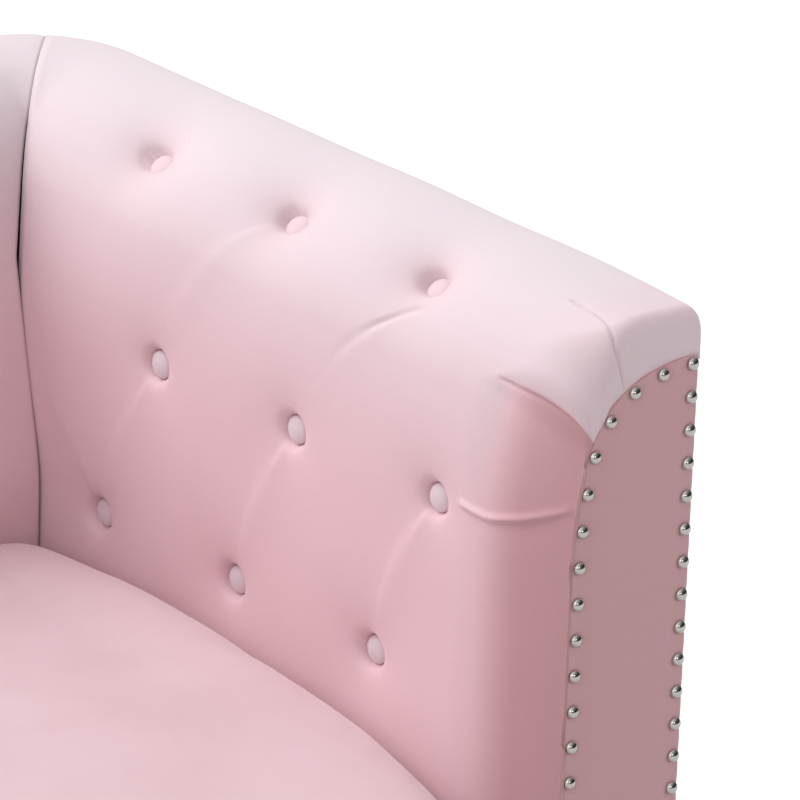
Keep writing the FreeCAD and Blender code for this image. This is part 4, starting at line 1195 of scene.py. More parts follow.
@dataclass
class BackPad(TuftedPad):
    """Tufted cover of the inside back and its top.

    Attributes:
        margin: least distance of a button from the arms.
    """

    margin: float = 0.066

    def profile(self, arc: Array) -> Pair:
        """Depth and height at arc lengths up the raked section."""
        return self.section(self.body.seat_thick).smoothed(arc)

    def axes(self) -> tuple[Array, Array, Array]:
        """Directions that places on the back are measured in.

        Returns:
            Middle of the outside face on the floor, the direction along the back and the one inward.
        """
        return np.array([0.0, self.body.rear, 0.0]), np.array([1.0, 0.0, 0.0]), np.array([0.0, -1.0, 0.0])

    def tufts(self) -> list[Tuft]:
        """Rows of buttons, symmetrical about the middle, as many as fit between the arms."""
        made = []
        arcs = self.row_arcs(self.section(self.body.seat_thick))
        starts = (self.pitch / 2, 0.0, self.pitch / 2)
        for first, *row in zip(starts, arcs, self.depths, self.pockets, self.sunk):
            count = int((self.body.well - self.margin - first) / self.pitch) + 1
            places = first + self.pitch * np.arange(count)
            made += [Tuft(float(x), *row) for x in np.unique(np.concatenate([-places, places]))]
        return made

    def folds(self) -> list[Fold]:
        """Soft folds from each roll and upper button down to the next row, leaning outward on each half."""
        tufts = self.tufts()
        roll, upper, lower = self.row_arcs(self.section(self.body.seat_thick))
        made = []
        for start in tufts:
            if start.arc == lower:
                continue
            below = upper if start.arc == roll else lower
            lean = 1.0 if start.along >= 0 else -1.0
            ends = [t for t in tufts if t.arc == below and 0 < (t.along - start.along) * lean < self.pitch]
            made += [self.pleat(start, end, -0.008 * lean, 0.003) for end in ends]
        return made

    def build(self) -> Piece:
        """Builds and dresses the cover: the raked section carried across, its ends on the mitres."""
        body, section = self.body, self.section(self.body.seat_thick)
        arc = self.columns(section)
        depth, height = self.profile(arc)
        reach = body.half - np.minimum(depth, body.pad_thick + CLEAR) - CLEAR
        rows = 420
        across = np.linspace(-1.0, 1.0, rows)[:, None] * reach[None, :]
        beside = body.half - np.abs(across)
        depth = np.broadcast_to(depth, across.shape)
        bent, beside = self.rounded(depth, beside)
        points = np.stack([np.sign(across) * (body.half - beside), body.rear - bent,
                           np.broadcast_to(height, across.shape)], -1)
        arcs = np.broadcast_to(arc, across.shape)
        offset = self.quilting(across, arcs)
        offset = offset + self.ripple * np.sin(across * 29.0 + 0.7) * np.sin(arcs * 25.0)
        end = np.maximum(reach[None, :] - np.abs(across), 0.0)
        offset = offset * smooth_step(end / 0.012) - 0.0008 * np.exp(-end / 0.006)
        offset = offset - SEAM_DIP * np.exp(-(float(section.runs.sum()) - arcs) / SEAM_REACH)
        normals = grid_normals(points)
        points = points + normals * offset[..., None]
        piece = mesh_object("back_pad", points, grid_faces(*across.shape))
        # Painted light: the back is painted paler towards its top as if lit from above, and less so over the
        # outer edge.
        painted_light_shade = smooth_step((arcs - 0.3) / 0.27) * self.outward(section, arcs)
        paint_light_shade_and_mottle(piece, painted_light_shade.ravel(), self.mottle)
        thicken(piece)
        return settle(piece, Slot.VELVET, ROOT, "back_cover", "back_foam")


def lathe(profile: Array, sides: int) -> Pair:
    """Turns a profile of (radius, height) pairs about the Z axis.

    Args:
        profile: pairs from the underside's middle to the top's middle, both ends on the axis.
        sides: points round the axis.

    Returns:
        Points, shape (n, 3), and triangles.
    """
    turn = np.arange(sides) * FULL_TURN / sides
    radius, height = profile[1:-1, :1], profile[1:-1, 1:]
    rings = np.stack([radius * np.cos(turn), radius * np.sin(turn), height + 0.0 * turn], -1).reshape(-1, 3)
    poles = np.array([[0.0, 0.0, profile[0, 1]], [0.0, 0.0, profile[-1, 1]]])
    walls = flipped(grid_faces(len(radius), sides, closed=True))
    spot = np.arange(sides)
    after = (spot + 1) % sides
    last, low, high = len(rings) - sides, np.full(sides, len(rings)), np.full(sides, len(rings) + 1)
    faces = np.vstack([walls[:, [0, 1, 2]], walls[:, [0, 2, 3]], np.stack([low, after, spot], -1),
                       np.stack([high, last + spot, last + after], -1)])
    return np.vstack([rings, poles]), faces


def stand(points: Array, places: Array, ways: Array) -> Array:
    """Sets copies of an upright shape at places, each turned to its own direction.

    Args:
        points: the upright shape.
        places: where the copies stand, shape (copies, 3).
        ways: their directions.

    Returns:
        All points, copy after copy.
    """
    help_axis = np.where(np.abs(ways[:, 2:]) > 0.9, np.array([1.0, 0.0, 0.0]), UP)
    first = unit(np.cross(help_axis, ways))
    second = np.cross(ways, first)
    basis = np.stack([first, second, ways], 1)
    return (np.einsum("pk,ckj->cpj", points, basis) + places[:, None, :]).reshape(-1, 3)


@dataclass
class Buttons:
    """Cloth-covered buttons of one pad.

    Attributes:
        name: the piece's name.
        node: the frame node that it stands for, or none where another piece does.
        radius: radius of a button.
        rim: height of the rim.
        dome: rise of the dome over the rim.
        turn: radius of the rounded lower rim.
    """

    name: str
    node: str = ""
    radius: float = 0.0107
    rim: float = 0.0025
    dome: float = 0.0045
    turn: float = 0.0022

    def profile(self) -> Array:
        """Half section: flat back, quarter-round rim and a dome that falls as a cosine."""
        under_way = np.linspace(-QUARTER_TURN, 0.0, 5)
        under = np.stack([self.radius - self.turn + self.turn * np.cos(under_way),
                          self.turn + self.turn * np.sin(under_way)], -1)
        over_way = np.linspace(0.0, 0.92, 8) * QUARTER_TURN
        over = np.stack([self.radius * np.cos(over_way), self.rim + self.dome * np.sin(over_way) ** 0.9], -1)
        return np.vstack([[[0.0, 0.0]], under, over, [[0.0, self.rim + self.dome]]])

    def build(self, places: Array, ways: Array) -> Piece:
        """Builds all buttons of a pad in one piece.

        Args:
            places: middles of the buttons' backs.
            ways: outward directions.

        Returns:
            The piece.
        """
        sides, roll_painted_light, face_painted_light = 28, 0.55, 0.85
        points, faces = lathe(self.profile(), sides)
        every = stand(points, places, ways)
        piece = mesh_object(self.name, every, copies(points, faces, len(places)))
        # Painted light: buttons on the face are painted pale as if lit; roll buttons less, as if in the shade
        # of their hollows.
        painted_light_shade = np.where(ways[:, 2] > 0.3, roll_painted_light, face_painted_light)
        paint_light_shade_and_mottle(piece, np.repeat(painted_light_shade, len(points)))
        return settle(piece, Slot.VELVET, ROOT, *([self.node] if self.node else []))


@dataclass
class ArmFront:
    """Facing of one arm with its two rows of nails.

    Attributes:
        body: main places of the loveseat.
        side: which arm.
        depth: how far the facing's edge runs back.
        edge: radius of the turned edge.
        crown: rise of the wadding in the middle.
        nail_radius: radius of a nail head.
        nail_height: height of a nail head.
        nail_inset: distance of the nails from the edge.
        nail_pitch: distance between the nails of the inner row.
        outer_pitch: distance between the nails of the outer row.
        dent: how deep a nail draws the cloth in.
    """

    body: Body
    side: Side
    depth: float = 0.0100
    edge: float = 0.0016
    crown: float = 0.0010
    nail_radius: float = 0.0051
    nail_height: float = 0.0042
    nail_inset: float = 0.0065
    nail_pitch: float = 0.0265
    outer_pitch: float = 0.0248
    dent: float = 0.0009

    def outline(self, inset: float, foot: float) -> RollSection:
        """The facing's outline, drawn in by an inset."""
        body = self.body
        return RollSection(body.panel_width - inset, body.panel_top - inset, PANEL_SIDE - inset,
                           PANEL_TOP - inset, max(PANEL_EDGE - inset, 0.0), foot, foot)

    def nail_spots(self) -> Array:
        """Nails evenly along the inner and top edge and down the outer edge, as (depth, height)."""
        body, inset = self.body, self.nail_inset
        top = body.panel_top - inset
        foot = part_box("arm_nails_right")[0].z + self.nail_radius
        path = RollSection(body.panel_width - 2 * inset, top, PANEL_SIDE - inset, PANEL_TOP - inset,
                           0.0, foot, foot)
        length = float(path.runs[:4].sum())
        count = round(length / self.nail_pitch)
        run = path.run_of(np.linspace(0.0, length, count + 1))
        depth, height = path.place(np.minimum(run, TOP_END))
        steps = round((top - foot) / self.outer_pitch)
        fall = top - (top - foot) * np.arange(1, steps + 1) / steps
        inner = np.stack([depth + inset, height], -1)
        outer = np.stack([np.full(steps, inset), fall], -1)
        return np.vstack([inner, outer])

    def inner_edge(self, height: Array, inset: float) -> Array:
        """Depth of the facing's inner edge at each height, read off its outline."""
        outline = self.outline(inset, self.body.underside)
        samples = 900
        depth, rise = outline.place(np.minimum(np.linspace(0.0, 4.0, samples), TOP_END))
        return np.interp(height, rise, depth)

    def build_panel(self) -> Piece:
        """The facing as rows across its outline, its edge a quarter round that goes on straight back."""
        body = self.body
        outline = self.outline(CLEAR, body.underside)
        rise = outline.place(np.array([TOP_END]))[1][0]
        plain = 0.75
        closing = np.sin(np.linspace(0, QUARTER_TURN, 90)[1:])
        share = np.concatenate([np.linspace(0.0, plain, 120), plain + (1.0 - plain) * closing])
        height = body.underside + (rise - body.underside) * share
        inner = self.inner_edge(height, CLEAR)
        near = self.edge * (1.0 - np.cos(np.linspace(0.0, QUARTER_TURN, 6)))[None, :]
        inner = inner[:, None]
        middle = CLEAR + self.edge + np.linspace(0.0, 1.0, 42)[None, 1:-1] * (inner - CLEAR - 2 * self.edge)
        depth = np.concatenate([CLEAR + near + 0.0 * inner, middle, (inner - near)[:, ::-1]], 1)
        tall = np.broadcast_to(height[:, None], depth.shape)
        rim = np.minimum(np.minimum(depth - CLEAR, inner - depth),
                         np.minimum(rise - tall, tall - body.underside))
        turned = self.edge * (1.0 - np.sqrt(1.0 - np.clip(1.0 - rim / self.edge, 0.0, 1.0) ** 2))
        crown_reach, dent_reach = 0.03, 0.008
        swell = self.crown * smooth_step(rim / crown_reach)
        for spot_depth, spot_height in self.nail_spots():
            away = np.hypot(depth - spot_depth, tall - spot_height)
            swell = swell - self.dent * np.exp(-(away / dent_reach) ** 2)
        points = np.stack([self.side.value * (body.half - depth), body.front + turned - swell, tall], -1)
        points = np.pad(points, ((1, 1), (1, 1), (0, 0)), mode="edge")
        points[[0, -1], :, 1] = body.front + self.depth
        points[:, [0, -1], 1] = body.front + self.depth
        faces = grid_faces(*points.shape[:2])
        if self.side is Side.LEFT:
            faces = flipped(faces)
        piece = mesh_object(f"arm_front_{self.side.label}", points, faces)
        # Painted shade: the facing turns away from the light, so its colour is pushed far towards the dark
        # velvet colour.
        paint_light_shade_and_mottle(piece, painted_light_shade=-0.85)
        corners = piece.modifiers.new("corners", "WELD")
        corners.merge_threshold = 0.00001
        thicken(piece)
        return settle(piece, Slot.VELVET, ROOT, f"arm_facing_cover_{self.side.label}")

    def build_nails(self) -> Piece:
        """Domed nail heads, each with a narrower foot that is pressed into the cloth."""
        pressed, sides = 0.0008, 16
        turn = np.linspace(0.0, QUARTER_TURN * 0.85, 5)
        dome = np.stack([self.nail_radius * np.cos(turn), self.nail_height * np.sin(turn)], -1)
        low = np.array([[0.0, -pressed], [self.nail_radius * 0.9, -pressed]])
        points, faces = lathe(np.vstack([low, dome, [[0.0, self.nail_height]]]), sides)
        spots = self.nail_spots()
        places = np.stack([self.side.value * (self.body.half - spots[:, 0]),
                           np.full(len(spots), self.body.front), spots[:, 1]], -1)
        ways = np.broadcast_to(np.array([0.0, -1.0, 0.0]), places.shape)
        every = stand(points, places, ways)
        piece = mesh_object(f"arm_nail_heads_{self.side.label}", every, copies(points, faces, len(spots)))
        return settle(piece, Slot.NICKEL, ROOT, f"arm_nails_{self.side.label}")


@dataclass
class OutsideCovers:
    """Plain velvet on the outside of the arms and back, and the border under the cushions.

    Attributes:
        body: main places of the loveseat.
        puff: rise of the wadding under the cloth.
        hem: radius of the turned lower edge.
        fade: distance from the edges over which the wadding rises.
        edge_dip: depth of the dip along the upper and lower edges.
        ripple: height of the wadding's slight unevenness.
    """

    body: Body
    puff: float = 0.0018
    hem: float = 0.003
    fade: float = 0.05
    edge_dip: float = 0.0014
    ripple: float = 0.0007

    def plan(self, way: Array) -> Pair:
        """Place and outward direction on the plan line from the right arm's front round to the back's middle.

        Args:
            way: lengths along the line: the straight side, a quarter circle, then the straight back.

        Returns:
            Plan points and directions, shape (n, 2).
        """
        body = self.body
        straight = self.side_length()
        turn = np.clip((way - straight) / body.corner, 0.0, QUARTER_TURN)
        centre = np.array([body.half - body.corner, body.rear - body.corner])
        out = np.stack([np.cos(turn), np.sin(turn)], -1)
        points = centre + body.corner * out
        points[:, 1] -= np.maximum(straight - way, 0.0)
        points[:, 0] -= np.maximum(way - straight - body.corner * QUARTER_TURN, 0.0)
        return points, out

    def side_length(self) -> float:
        """Length of the straight part of an outside arm."""
        return self.body.rear - self.body.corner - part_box("outside_arm_cover_right")[0].y

    def turned_under(self, height: Array, foot: float) -> Array:
        """How far the cloth is drawn back where its lower edge turns under, over a quarter circle."""
        share = np.clip(1.0 - (height - foot) / self.hem, 0.0, 1.0)
        return self.hem * (1.0 - np.sqrt(1.0 - share ** 2))

    def stuffing(self, way: Array, height: Array, waves: Triple) -> Array:
        """Rise of the cloth: wadding that fades to the edges, dips at the seams and a slight unevenness.

        Args:
            way: lengths along the plan line.
            height: heights of the rows.
            waves: waves of the unevenness up the cloth and along it, and the shift of the latter.

        Returns:
            Rises, shape (ways, heights).
        """
        body = self.body
        ends = np.minimum(way - way[0], way[-1] - way)[:, None]
        edges = np.minimum(body.panel_top - height, height - body.underside)[None, :]
        rise = self.puff * smooth_step(ends / self.fade) * smooth_step(edges / self.fade)
        rise = rise - self.edge_dip * np.exp(-edges / SEAM_REACH) - SEAM_DIP * np.exp(-ends / SEAM_REACH)
        upward, along, shift = waves
        return rise + self.ripple * np.sin(height * upward)[None, :] * np.sin(way * along + shift)[:, None]

    def upright(self, name: str, line: Pair, height: Array, rise: Array, mirror: int = 1) -> Piece:
        """An upright cover, its plan line carried up and moved out by the rise.

        Args:
            name: the piece's name.
            line: plan points and outward directions.
            height: heights of the rows.
            rise: how far the cloth stands out.
            mirror: -1 puts it on the left.

        Returns:
            The bare piece.
        """
        plan, out = line
        flat = plan[:, None, :] + out[:, None, :] * rise[..., None]
        points = np.stack([mirror * flat[..., 0], flat[..., 1], np.broadcast_to(height, rise.shape)], -1)
        faces = grid_faces(*rise.shape)
        piece = mesh_object(name, points, faces if mirror > 0 else flipped(faces))
        thicken(piece)
        return piece

    def build(self) -> None:
        """Builds the outside arm covers, the outside back cover and the front border."""
        corner = self.side_length() + self.body.corner * EIGHTH_TURN
        for side in Side:
            self.build_side(side, corner)
        self.build_back(corner)
        self.build_border()

    def build_side(self, side: Side, corner: float) -> None:
        """One outside arm, from its front to the middle of the rear corner."""
        body = self.body
        way = np.linspace(0.0, corner - CLEAR, 130)
        hem_top = body.underside + 0.02
        height = np.concatenate([np.linspace(body.underside, hem_top, 10)[:-1],
                                 np.linspace(hem_top, body.panel_top - CLEAR, 70)])
        rise = self.stuffing(way, height, (19.0, 13.0, 0.5))
        rise = rise - self.turned_under(height, body.underside)[None, :]
        piece = self.upright(f"outside_arm_{side.label}", self.plan(way), height, rise, side.value)
        settle(piece, Slot.VELVET, ROOT, f"outside_arm_cover_{side.label}")

    def build_back(self, corner: float) -> None:
        """The outside back, from the middle of one rear corner to the other."""
        body = self.body
        reach = corner + body.corner * EIGHTH_TURN + body.half - body.corner
        half_way = np.linspace(corner + CLEAR, reach, 110)
        mirror = np.array([-1.0, 1.0])
        line = tuple(np.vstack([right, (right * mirror)[-2::-1]]) for right in self.plan(half_way))
        way = np.concatenate([half_way, 2 * reach - half_way[-2::-1]])
        height = np.linspace(body.underside, body.panel_top - CLEAR, 80)
        piece = self.upright("outside_back", line, height, self.stuffing(way, height, (17.0, 11.0, 0.0)))
        settle(piece, Slot.VELVET, ROOT, "outside_back_cover")

    def build_border(self) -> None:
        """The front border: a low panel, slightly stuffed, turned under at its lower edge."""
        low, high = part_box("front_border_cover")
        across = np.linspace(low.x, high.x, 200)[:, None]
        height = np.linspace(low.z, high.z, 50)[None, :]
        ends = np.minimum(across - low.x, high.x - across)
        edges = np.minimum(height - low.z, high.z - height)
        puff, end_fade, end_dip, end_reach, ripple = 0.004, 0.04, 0.001, 0.005, 0.0006
        rise = puff * smooth_step(ends / end_fade) * smooth_step(edges / self.fade)
        rise = rise - end_dip * np.exp(-ends / end_reach)
        rise = rise + ripple * np.sin(across * 23.0 + 0.3) * np.sin(height * 40.0)
        rise = rise - self.turned_under(height, low.z)
        points = np.stack([np.broadcast_to(across, rise.shape), low.y - rise,
                           np.broadcast_to(height, rise.shape)], -1)
        piece = mesh_object("front_border", points, grid_faces(*rise.shape))
        thicken(piece)
        settle(piece, Slot.VELVET, ROOT, "front_border_cover", "front_border_pad")


@dataclass
class SeatCushion:
    """One loose seat cushion: foam in a velvet case with a zip in the rear boxing.

    Attributes:
        side: which half of the seat.
        voxel: cell of the remesh before the cloth swells.
        pressure: pressure inside the case.
        swell: furthest that the cloth may move.
        frames: steps of the simulation.
        evening: rounds of averaging that even the swell.
        lift: how much fuller the top is where arm and back hold the case.
        lift_reach: how far that fullness reaches in.
    """

    side: Side
    voxel: float = 0.008
    pressure: float = 4.0
    swell: float = 0.008
    frames: int = 20
    evening: int = 12
    lift: float = 0.013
    lift_reach: float = 0.17

    @property
    def rider(self) -> str:
        """The body that the cushion is."""
        return f"seat_cushion_{self.side.label}"

    def start_form(self) -> Piece:
        """A merged and remeshed copy of the foam's solid."""
        source = frame["nodes"][f"seat_cushion_foam_{self.side.label}"]
        piece = bpy.data.objects.new(f"seat_case_{self.side.label}", source.data.copy())
        bpy.context.scene.collection.objects.link(piece)
        weld = piece.modifiers.new("weld", "WELD")
        weld.merge_threshold = 0.0001
        remesh = piece.modifiers.new("remesh", "REMESH")
        remesh.mode = "VOXEL"
        remesh.voxel_size = self.voxel
        remesh.use_smooth_shade = True
        self.apply(piece)
        return piece

    def apply(self, piece: Piece) -> None:
        """Replaces the piece's mesh by what its modifiers give."""
        shown = piece.evaluated_get(bpy.context.evaluated_depsgraph_get())
        mesh = bpy.data.meshes.new_from_object(shown)
        piece.modifiers.clear()
        piece.data = mesh

    def inflate(self, piece: Piece) -> Array:
        """Lets cloth swell under pressure and returns its places after the last step."""
        cloth = piece.modifiers.new("case", "CLOTH")
        settings = cloth.settings
        settings.use_pressure = True
        settings.uniform_pressure_force = self.pressure
        settings.quality = 6
        settings.mass = 0.25
        settings.tension_stiffness = 12.0
        settings.compression_stiffness = 12.0
        settings.bending_stiffness = 0.8
        settings.shrink_min = -0.012
        settings.effector_weights.gravity = 0.0
        cloth.point_cache.frame_start = 1
        cloth.point_cache.frame_end = self.frames
        scene = bpy.context.scene
        for step in range(1, self.frames + 1):
            scene.frame_set(step)
        shown = piece.evaluated_get(bpy.context.evaluated_depsgraph_get())
        moved = vertex_places(shown.data)
        piece.modifiers.clear()
        scene.frame_set(1)
        return moved

    def swelled(self, piece: Piece, rest: Array, moved: Array) -> Array:
        """Keeps the outward part of the cloth's shift, capped and evened over the mesh.

        The shift is taken along each vertex normal, clipped to 0..swell, then averaged with the neighbours'
        shifts.

        Args:
            piece: the piece in its start form.
            rest: its vertex places.
            moved: the places after the simulation.

        Returns:
            The new places.
        """
        normals = np.empty(rest.size, dtype=np.float32)
        piece.data.vertices.foreach_get("normal", normals)
        normals = normals.reshape(-1, 3)
        rise = np.clip(np.einsum("ij,ij->i", moved - rest, normals), 0.0, self.swell)
        edges = np.empty(len(piece.data.edges) * 2, dtype=np.int32)
        piece.data.edges.foreach_get("vertices", edges)
        first, second = edges.reshape(-1, 2).T
        ends, others = np.concatenate([first, second]), np.concatenate([second, first])
        count = np.bincount(ends, minlength=len(rest))
        for _ in range(self.evening):
            near = np.bincount(ends, weights=rise[others], minlength=len(rest)) / count
            rise = 0.5 * (rise + near)
        return rest + normals * rise[:, None]

    def held(self, points: Array) -> Array:
        """Fills the top out beside arm and back, and flattens the case where its neighbours hold it."""
        low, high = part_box(f"seat_cushion_cover_{self.side.label}")
        outer = high.x if self.side is Side.RIGHT else low.x
        from_arm = 1.0 - smooth_step(np.abs(points[:, 0] - outer) / self.lift_reach)
        from_back = 1.0 - smooth_step((high.y - points[:, 1]) / self.lift_reach)
        rise_length = 0.04
        upper = smooth_step((points[:, 2] - (low.z + high.z) / 2) / rise_length)
        points = points.copy()
        points[:, 2] += self.lift * upper * (1.0 - (1.0 - from_arm) * (1.0 - from_back))
        front_room, rear_gap, top_room = 0.006, 0.0004, 0.012
        room_low = np.array([low.x, low.y - front_room, low.z])
        room_high = np.array([high.x, high.y - rear_gap, high.z + top_room])
        return np.clip(points, room_low, room_high)

    def build(self) -> Piece:
        """Builds the case: a remeshed form, swelled by simulation, then held by its neighbours."""
        piece = self.start_form()
        rest = vertex_places(piece.data)
        moved = self.swelled(piece, rest, self.inflate(piece))
        piece.data.vertices.foreach_set("co", self.held(moved).astype(np.float32).ravel())
        piece.data.polygons.foreach_set("use_smooth", np.ones(len(piece.data.polygons), dtype=bool))
        piece.data.update()
        # Painted sheen: the case is mixed part way towards the pale colour; the mottle is the pile's own
        # patchiness.
        paint_light_shade_and_mottle(piece, painted_light_shade=0.30, mottle=0.9)
        soften = piece.modifiers.new("soften", "SUBSURF")
        soften.levels = 1
        soften.render_levels = 1
        label = self.side.label
        return settle(piece, Slot.VELVET, self.rider, f"seat_cushion_cover_{label}",
                      f"seat_cushion_foam_{label}")

    def build_zip(self) -> Piece:
        """The zip: a tape with two rows of interlocked teeth and a stop at each end."""
        low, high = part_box(f"seat_cushion_zip_{self.side.label}")
        pitch, margin, tape_thick, bed, stop_length = 0.0022, 0.006, 0.001, 0.0009, 0.005
        crosswise = np.array([1.0, 0.0, 0.0])
        seat = np.array([0.0, low.y + bed, (low.z + high.z) / 2])
        tooth = box_corners((0.0, pitch / 2), (0.0, 0.0012), (-0.0003, 0.0018))
        stop = box_corners((0.0, stop_length), (0.0, 0.0022), (-0.004, 0.004))
        tape = box_corners((low.x, high.x), (low.y, low.y + tape_thick), (low.z, high.z))
        sides = np.array([[0, 1, 3, 2], [4, 6, 7, 5], [0, 4, 5, 1], [2, 3, 7, 6], [0, 2, 6, 4], [1, 5, 7, 3]])
        count = int((high.x - low.x - 2 * margin) / pitch)
        start = (low.x + margin + pitch * np.arange(count))[:, None, None]
        upper = tooth + seat + start * crosswise
        lower = tooth * np.array([1.0, 1.0, -1.0]) + seat + (start + pitch / 2) * crosswise
        stops = stop + seat + np.array([low.x, high.x - stop_length])[:, None, None] * crosswise
        every = np.vstack([tape, stops.reshape(-1, 3), upper.reshape(-1, 3), lower.reshape(-1, 3)])
        faces = copies(tooth, sides, 3 + count)
        mirrored = copies(tooth, flipped(sides), count) + (3 + count) * len(tooth)
        piece = mesh_object(f"zip_{self.side.label}", every, np.vstack([faces, mirrored]))
        piece.data.polygons.foreach_set("use_smooth", np.zeros(len(piece.data.polygons), dtype=bool))
        return settle(piece, Slot.ZIP_TAPE, self.rider, f"seat_cushion_zip_{self.side.label}")


@dataclass
class Linings:
    """Deck cloth under the cushions and the dust cloth under the frame.

    Attributes:
        body: main places of the loveseat.
        lip_radius: bend of the deck cloth at its front edge.
        facing_rows: rows of the deck, from its front edge, that are velvet.
    """

    body: Body
    lip_radius: float = 0.008
    facing_rows: int = 26

    def build_deck(self) -> None:
        """A lip, a quarter round and a level sheet carried across the well, dished a little by the springs.

        The front rows, which can be seen past the cushions, are a strip of velvet sewn to the lining. They
        widen towards the front as far as the arms' bevels let them.
        """
        body = self.body
        low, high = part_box("deck_cover")
        turn = np.linspace(0.0, QUARTER_TURN, 8)
        radius = self.lip_radius
        lip = np.linspace(low.z, high.z - radius, 5)[:-1]
        level = np.linspace(low.y + radius, high.y, 70)[1:]
        profile = np.vstack([
            np.stack([np.full(lip.shape, low.y), lip], -1),
            np.stack([low.y + radius * (1 - np.cos(turn)), high.z - radius * (1 - np.sin(turn))], -1),
            np.stack([level, np.full(level.shape, high.z)], -1)])
        left = np.clip(1.0 - (profile[:, 0] - body.front) / ArmPad.bevel_round, 0.0, 1.0)
        bevel = body.panel_width + (body.pad_thick - body.panel_width) * (1.0 - left ** BEVEL_POWER)
        reach = np.maximum(high.x, body.half - bevel - CLEAR)
        across = np.linspace(-1.0, 1.0, 150)[:, None] * reach[None, :]
        depth = np.broadcast_to(profile[:, 0], across.shape)
        height = np.broadcast_to(profile[:, 1], across.shape)
        dish = 0.0012 * np.sin(across * 45.0) ** 2 * smooth_step((depth - low.y - 0.02) / 0.05)
        points = np.stack([across, depth, height - dish], -1)
        strip = points[:, :self.facing_rows]
        front = mesh_object("deck_front", strip, grid_faces(*strip.shape[:2]))
        paint_light_shade_and_mottle(front, painted_light_shade=0.0, mottle=0.2)
        thicken(front)
        settle(front, Slot.VELVET, ROOT, "deck_cover")
        sheet = points[:, self.facing_rows - 1:]
        piece = mesh_object("deck", sheet, grid_faces(*sheet.shape[:2]))
        thicken(piece)
        settle(piece, Slot.LINING, ROOT, "deck_pad", "deck_cloth")

    def build_dust_cloth(self) -> Piece:
        """A level sheet inside the covers with round rear corners, sagging slightly between the rails."""
        body = self.body
        low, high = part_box("dust_cover")
        radius = body.corner - (body.half - high.x)
        bend, last = high.y - radius, 0.985
        rounding = np.sin(np.linspace(0.0, QUARTER_TURN, 24)[1:] * last)
        forward = np.concatenate([np.linspace(low.y, bend, 60), bend + radius * rounding])
        drawn = np.clip((forward - bend) / radius, 0.0, 1.0)
        reach = high.x - radius * (1.0 - np.sqrt(1.0 - drawn ** 2))
        across = np.linspace(-1.0, 1.0, 110)[None, :] * reach[:, None]
        depth = np.broadcast_to(forward[:, None], across.shape)
        deepest, side_fade, end_fade = 0.003, 0.25, 0.2
        sag = deepest * smooth_step((reach[:, None] - np.abs(across)) / side_fade)
        sag = sag * smooth_step((depth - low.y) / end_fade) * smooth_step((high.y - depth) / end_fade)
        points = np.stack([across, depth, low.z - sag], -1)
        piece = mesh_object("dust_cloth", points, grid_faces(*across.shape))
        wall = piece.modifiers.new("thickness", "SOLIDIFY")
        wall.thickness = 0.0008
        return settle(piece, Slot.LINING, ROOT, "dust_cover")


class Carcass:
    """Frame nodes that keep their own shape and only get a finish."""

    def dress(self) -> None:
        """Gives each shown frame node the finish of its material slot."""
        for part in frame["record"]["subparts"]:
            node = frame["nodes"][part["node"]]
            node.data.materials.clear()
            node.data.materials.append(FINISHES[Slot(part["material_slot"])].material())


